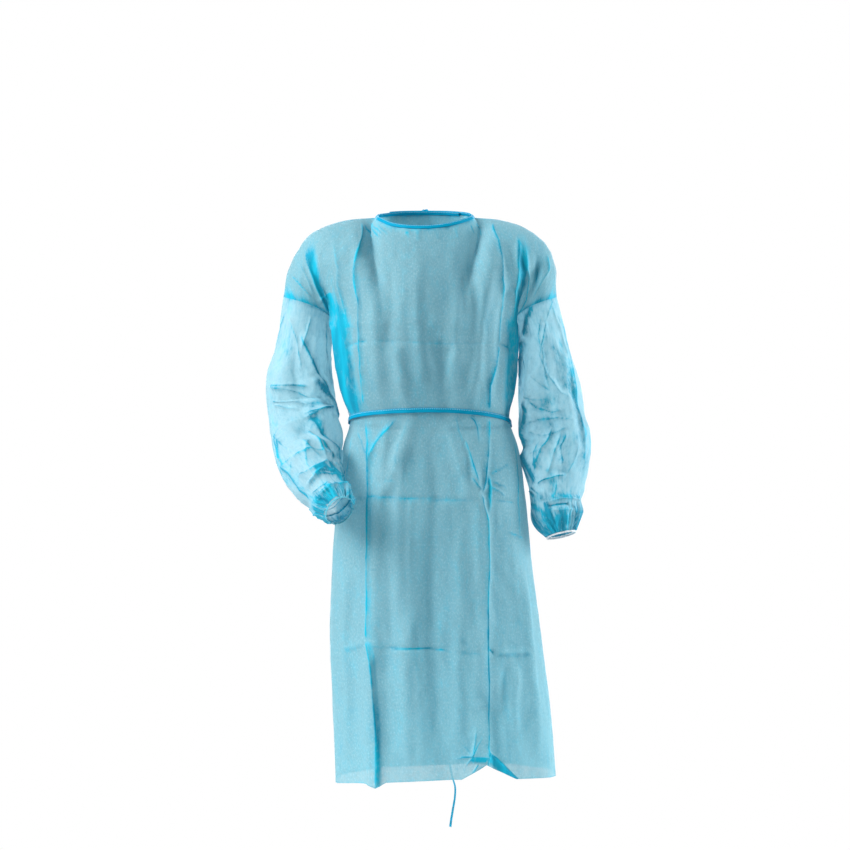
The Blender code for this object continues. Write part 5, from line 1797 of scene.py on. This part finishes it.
@dataclass(frozen=True)
class Belt:
    """The waist belt."""

    width: float = BELT_WIDTH
    thickness: float = TAPE
    columns: int = 150
    lean: float = 0.22  # how far it tips over, as a slope
    leans: int = 14  # how often on its way round
    seed: float = 5.0

    def line(self, form: BodyForm) -> tuple[Array, Array]:
        """The belt's way round the waist.

        Args:
            form: The body's form.

        Returns:
            Its middle line, and the way outwards from it.
        """
        rows = np.array([V_BELT - BELT_ROW, V_BELT, V_BELT + BELT_ROW])
        front = form.broad(Face.FRONT, np.linspace(-1, 1, self.columns + 1), rows)[:, 1]
        back = np.linspace(1, -1, self.columns + 1)[1:]
        under_lap = LAP_SHIFT * smooth_step(-LAP_SHARE - LAP_FADE[1], -LAP_SHARE, back)
        lapped = np.where(back > -LAP_SHARE, lap_shift(back), under_lap)
        behind = form.broad(Face.BACK, back[::-1], rows, lapped[::-1])[::-1, 1]
        ring = np.concatenate([front, behind])
        run = np.gradient(ring, axis=0)
        run[0] = run[-1] = ring[1] - ring[-2]
        out = unit(np.cross(run, UP))
        return ring + out * (WALL / 2 + self.thickness / 2 + BELT_CLEAR), out

    def build(self, form: BodyForm, finish: Material) -> None:
        """Makes the belt.

        Args:
            form: The body's form.
            finish: The folded strip's material.
        """
        line, out = self.line(form)
        line[-1], out[-1] = line[0], out[0]
        around = np.linspace(0, self.leans, len(line))
        lean = self.lean * value_noise(around, 0.5, self.seed, self.leans)[:, None]
        mesh = Strip(self.width, self.thickness).mesh(
            "waist_belt_tape", line, unit(UP + out * lean), unit(out - UP * lean), looped=True)
        place("waist_belt_tape", mesh, finish, "waist_belt", "tape")


@dataclass(frozen=True)
class Binding:
    """The strip folded over the neckline's cut edge."""

    width: float = BINDING_WIDTH
    thickness: float = 0.0024
    columns: int = 60  # on each half of the back, and twice as many in front
    first_row: float = 0.012  # the panel's row that shows which way the neckline faces
    smoothings: int = 12
    overlap: float = 0.0006  # how far it reaches down past the cut edge

    def build(self, form: BodyForm, finish: Material) -> None:
        """Makes the binding.

        Args:
            form: The body's form.
            finish: The folded strip's material.
        """
        rows = np.array([0.0, self.first_row])
        back_right = np.linspace(LAP_SHARE, -NECK_SHARE, self.columns)
        front = np.linspace(-NECK_SHARE, NECK_SHARE, self.columns * 2)
        back_left = np.linspace(NECK_SHARE, -LAP_SHARE, self.columns)
        right = form.broad(Face.BACK, back_right[::-1], rows)[::-1]
        middle = form.broad(Face.FRONT, front, rows)
        left = form.broad(Face.BACK, back_left[::-1], rows, lap_shift(back_left[::-1]))[::-1]
        grid = np.concatenate([right[:-1], middle, left[1:]])
        line, down = grid[:, 0], grid[:, 1] - grid[:, 0]
        run = unit(np.gradient(line, axis=0))
        up = -(down - run * np.sum(down * run, axis=1, keepdims=True))
        for _ in range(self.smoothings):
            up[1:-1] = (up[:-2] + up[1:-1] * 2 + up[2:]) / 4
        up = unit(up)
        line = line + up * (self.width / 2 - self.overlap)
        mesh = Strip(self.width, self.thickness).mesh(
            "neck_binding_tape", line, up, unit(np.cross(run, up)), looped=False)
        place("neck_binding_tape", mesh, finish, "neck_binding", "tape")


@dataclass(frozen=True)
class ElasticEdge:
    """The elastic's edge just past a cuff's opening."""

    side: Side
    length: float = 0.0035
    thickness: float = 0.0013
    gap: float = 0.0008
    inset: float = 0.0008
    columns: int = 288
    waves: tuple[tuple[float, int, float], ...] = ((0.0005, 40, 0.0), (0.0004, 17, 0.4))

    def build(self, finish: Material) -> None:
        """Makes the edge.

        Args:
            finish: The elastic's material.
        """
        arm = SleeveForm(self.side)
        turns = np.linspace(0, 360, self.columns + 1)
        opening, above = np.array([1.0]), np.array([0.9])
        centre, out, front = (v[0] for v in arm.frame(opening))
        ahead = unit(np.cross(out, front))
        if ahead @ (centre - arm.frame(above)[0][0]) < 0:
            ahead = -ahead
        ring = arm.rings(turns, opening)[:, 0]
        away = unit(ring - centre)
        wave = sum(height * np.sin(np.radians(turns) * count + phase) for height, count, phase in self.waves)
        line = ring + away * (wave - self.inset)[:, None] + ahead * (self.gap + self.length / 2)
        line[-1] = line[0]
        node = f"cuff_elastic_{self.side.value}"
        mesh = Strip(self.length, self.thickness).mesh(
            node + "_band", line, np.tile(ahead, (len(line), 1)), away, looped=True)
        place(node + "_band", mesh, finish, node, "elastic")


class Lamp(NamedTuple):
    """A soft square lamp: its place, side length, power and tint."""

    name: str
    place: Point
    size: float
    power: float
    tint: tuple[float, float, float]


@dataclass(frozen=True)
class Studio:
    """The camera, the lights and the pale floor."""

    distance: float = 4.0
    height: float = -0.411
    view_height: float = 1.6575
    floor_level: float = -1.56
    floor_radius: float = 1.45
    floor_colour: Colour = (0.93, 0.93, 0.94, 1.0)
    seen: Colour = (1.0, 1.0, 1.0, 1.0)  # the surround as the lens sees it
    soft: Colour = (0.97, 0.985, 1.0, 1.0)  # and as it lights the gown
    shine: float = 0.40
    aim: Point = Point(0.0, 0.0, -0.5)
    lamps: tuple[Lamp, ...] = (
        Lamp("back_light", Point(0.0, 3.2, 0.1), 3.6, 200.0, (1.0, 1.0, 1.0)),
        Lamp("key_light", Point(-3.2, -1.7, 1.9), 2.2, 340.0, (1.0, 0.99, 0.98)),
        Lamp("side_light", Point(3.3, 0.5, 0.4), 1.2, 175.0, (0.97, 0.99, 1.0)),
    )
    clear_layers: int = 24  # how many layers of thin cloth light can cross

    def camera(self) -> None:
        """Stands the camera straight in front, a little below the belt's height."""
        lens = bpy.data.cameras.new("camera")
        lens.angle = 2 * math.atan(self.view_height / 2 / self.distance)
        eye = bpy.data.objects.new("camera", lens)
        eye.location = (0.0, -self.distance, self.height)
        eye.rotation_euler = (math.pi / 2, 0.0, 0.0)
        bpy.context.scene.collection.objects.link(eye)
        bpy.context.scene.camera = eye

    def floor(self) -> None:
        """Lays the floor as far below the gown as it is worn above one."""
        bm = bmesh.new()
        bmesh.ops.create_circle(bm, cap_ends=True, segments=128, radius=self.floor_radius)
        bmesh.ops.translate(bm, vec=Vector((0.0, 0.0, self.floor_level)), verts=bm.verts)
        mesh = bpy.data.meshes.new("floor")
        bm.to_mesh(mesh)
        bm.free()
        b = material_bench("pale_floor")
        mesh.materials.append(b.finish(b.body(Base_Color=self.floor_colour, Roughness=0.8)))
        floor = bpy.data.objects.new("floor", mesh)
        bpy.context.scene.collection.objects.link(floor)

    def light(self, lamp: Lamp) -> None:
        """Hangs a lamp that shines at the gown's middle.

        Args:
            lamp: The lamp.
        """
        light = bpy.data.lights.new(lamp.name, "AREA")
        light.size, light.energy, light.color = lamp.size, lamp.power, lamp.tint
        hung = bpy.data.objects.new(lamp.name, light)
        hung.location = lamp.place
        aim = Vector(self.aim) - Vector(lamp.place)
        hung.rotation_euler = aim.to_track_quat("-Z", "Y").to_euler()
        hung.visible_camera = False
        bpy.context.scene.collection.objects.link(hung)

    def world(self) -> None:
        """Makes a white surround that also lights the gown softly."""
        b = Bench(bpy.data.worlds.new("studio"))
        from_lens = b.out(b.node("ShaderNodeLightPath"), "Is Camera Ray")
        soft, seen = (
            b.out(b.node("ShaderNodeBackground", None, {"Color": colour, "Strength": strength}))
            for colour, strength in ((self.soft, self.shine), (self.seen, 1.0))
        )
        mixed = b.node("ShaderNodeMixShader", None, {0: from_lens, 1: soft, 2: seen})
        bpy.context.scene.world = b.finish(b.out(mixed))

    def build(self) -> None:
        """Sets up everything round the gown."""
        self.camera()
        self.floor()
        self.world()
        for lamp in self.lamps:
            self.light(lamp)
        scene = bpy.context.scene
        scene.view_settings.view_transform = "Standard"
        scene.cycles.transparent_max_bounces = self.clear_layers


def main() -> None:
    """Builds the studio, the ties and every piece of cloth, and notes the sizes."""
    logging.basicConfig(level=logging.INFO, format="%(name)s %(message)s")
    Studio().build()
    cloth = Spunbond("shaded_spunbond_cloth").make()
    # A paler copy that also glows more, as painted light on the sleeves beside the darker body cloth
    lit_sleeve_cloth = Spunbond(
        "lit_spunbond_sleeve", pale=(0.46, 0.65, 0.71, 1.0), glow=(0.26, 0.60, 0.70, 1.0),
        through=0.38, cover=0.59, mottle=1.45,
    ).make()
    belt_tape = Tape("folded_strip").make()
    neck_tape = Tape("neck_strip", width=BINDING_WIDTH).make()
    elastics = {
        Side.RIGHT: Elastic("covered_elastic", (0.01, 0.30, 0.42, 1.0), (0.10, 0.50, 0.62, 1.0)).make(),
        Side.LEFT: Elastic().make(),
    }
    form = BodyForm()
    Ties().build(Tape("loose_strip", (0.004, 0.36, 0.56, 1.0), (0.03, 0.52, 0.72, 1.0)).make())
    panels = (
        Panel("front_panel_cloth", "front_panel", Face.FRONT, -1.0, 1.0, 240, 405, (0.72, 1.10), 0.74,
              FRONT_CREASES, HEM_NOTCHES, seed=1.0),
        Panel("back_panel_right_cloth", "back_panel_right", Face.BACK, -1.0, LAP_SHARE, 130, 300,
              (0.42, 1.12), 0.43, BACK_CREASES, seed=21.0),
        Panel("back_panel_left_cloth", "back_panel_left", Face.BACK, -LAP_SHARE, 1.0, 130, 300,
              (0.42, 1.12), 0.43, BACK_CREASES, lapped=True, seed=31.0),
    )
    for panel in panels:
        panel.build(form, cloth)
    sleeves = (
        Sleeve(Side.RIGHT, (0.46, 0.46), 0.19, (0.27, 0.052), 0.014, seed=11.0),
        Sleeve(Side.LEFT, (0.44, 0.42), 0.16, (0.30, 0.068), 0.020, seed=17.0),
    )
    for sleeve in sleeves:
        sleeve.build(form, lit_sleeve_cloth)
    for side in Side:
        ElasticEdge(side).build(elastics[side])
    Binding().build(form, neck_tape)
    Belt().build(form, belt_tape)
    Knot("belt_knot_tape", "belt_knot", BELT_KNOT).build(belt_tape)
    Knot("neck_knot_tape", "neck_knot", NECK_KNOT).build(belt_tape)


if __name__ == "__main__":
    main()
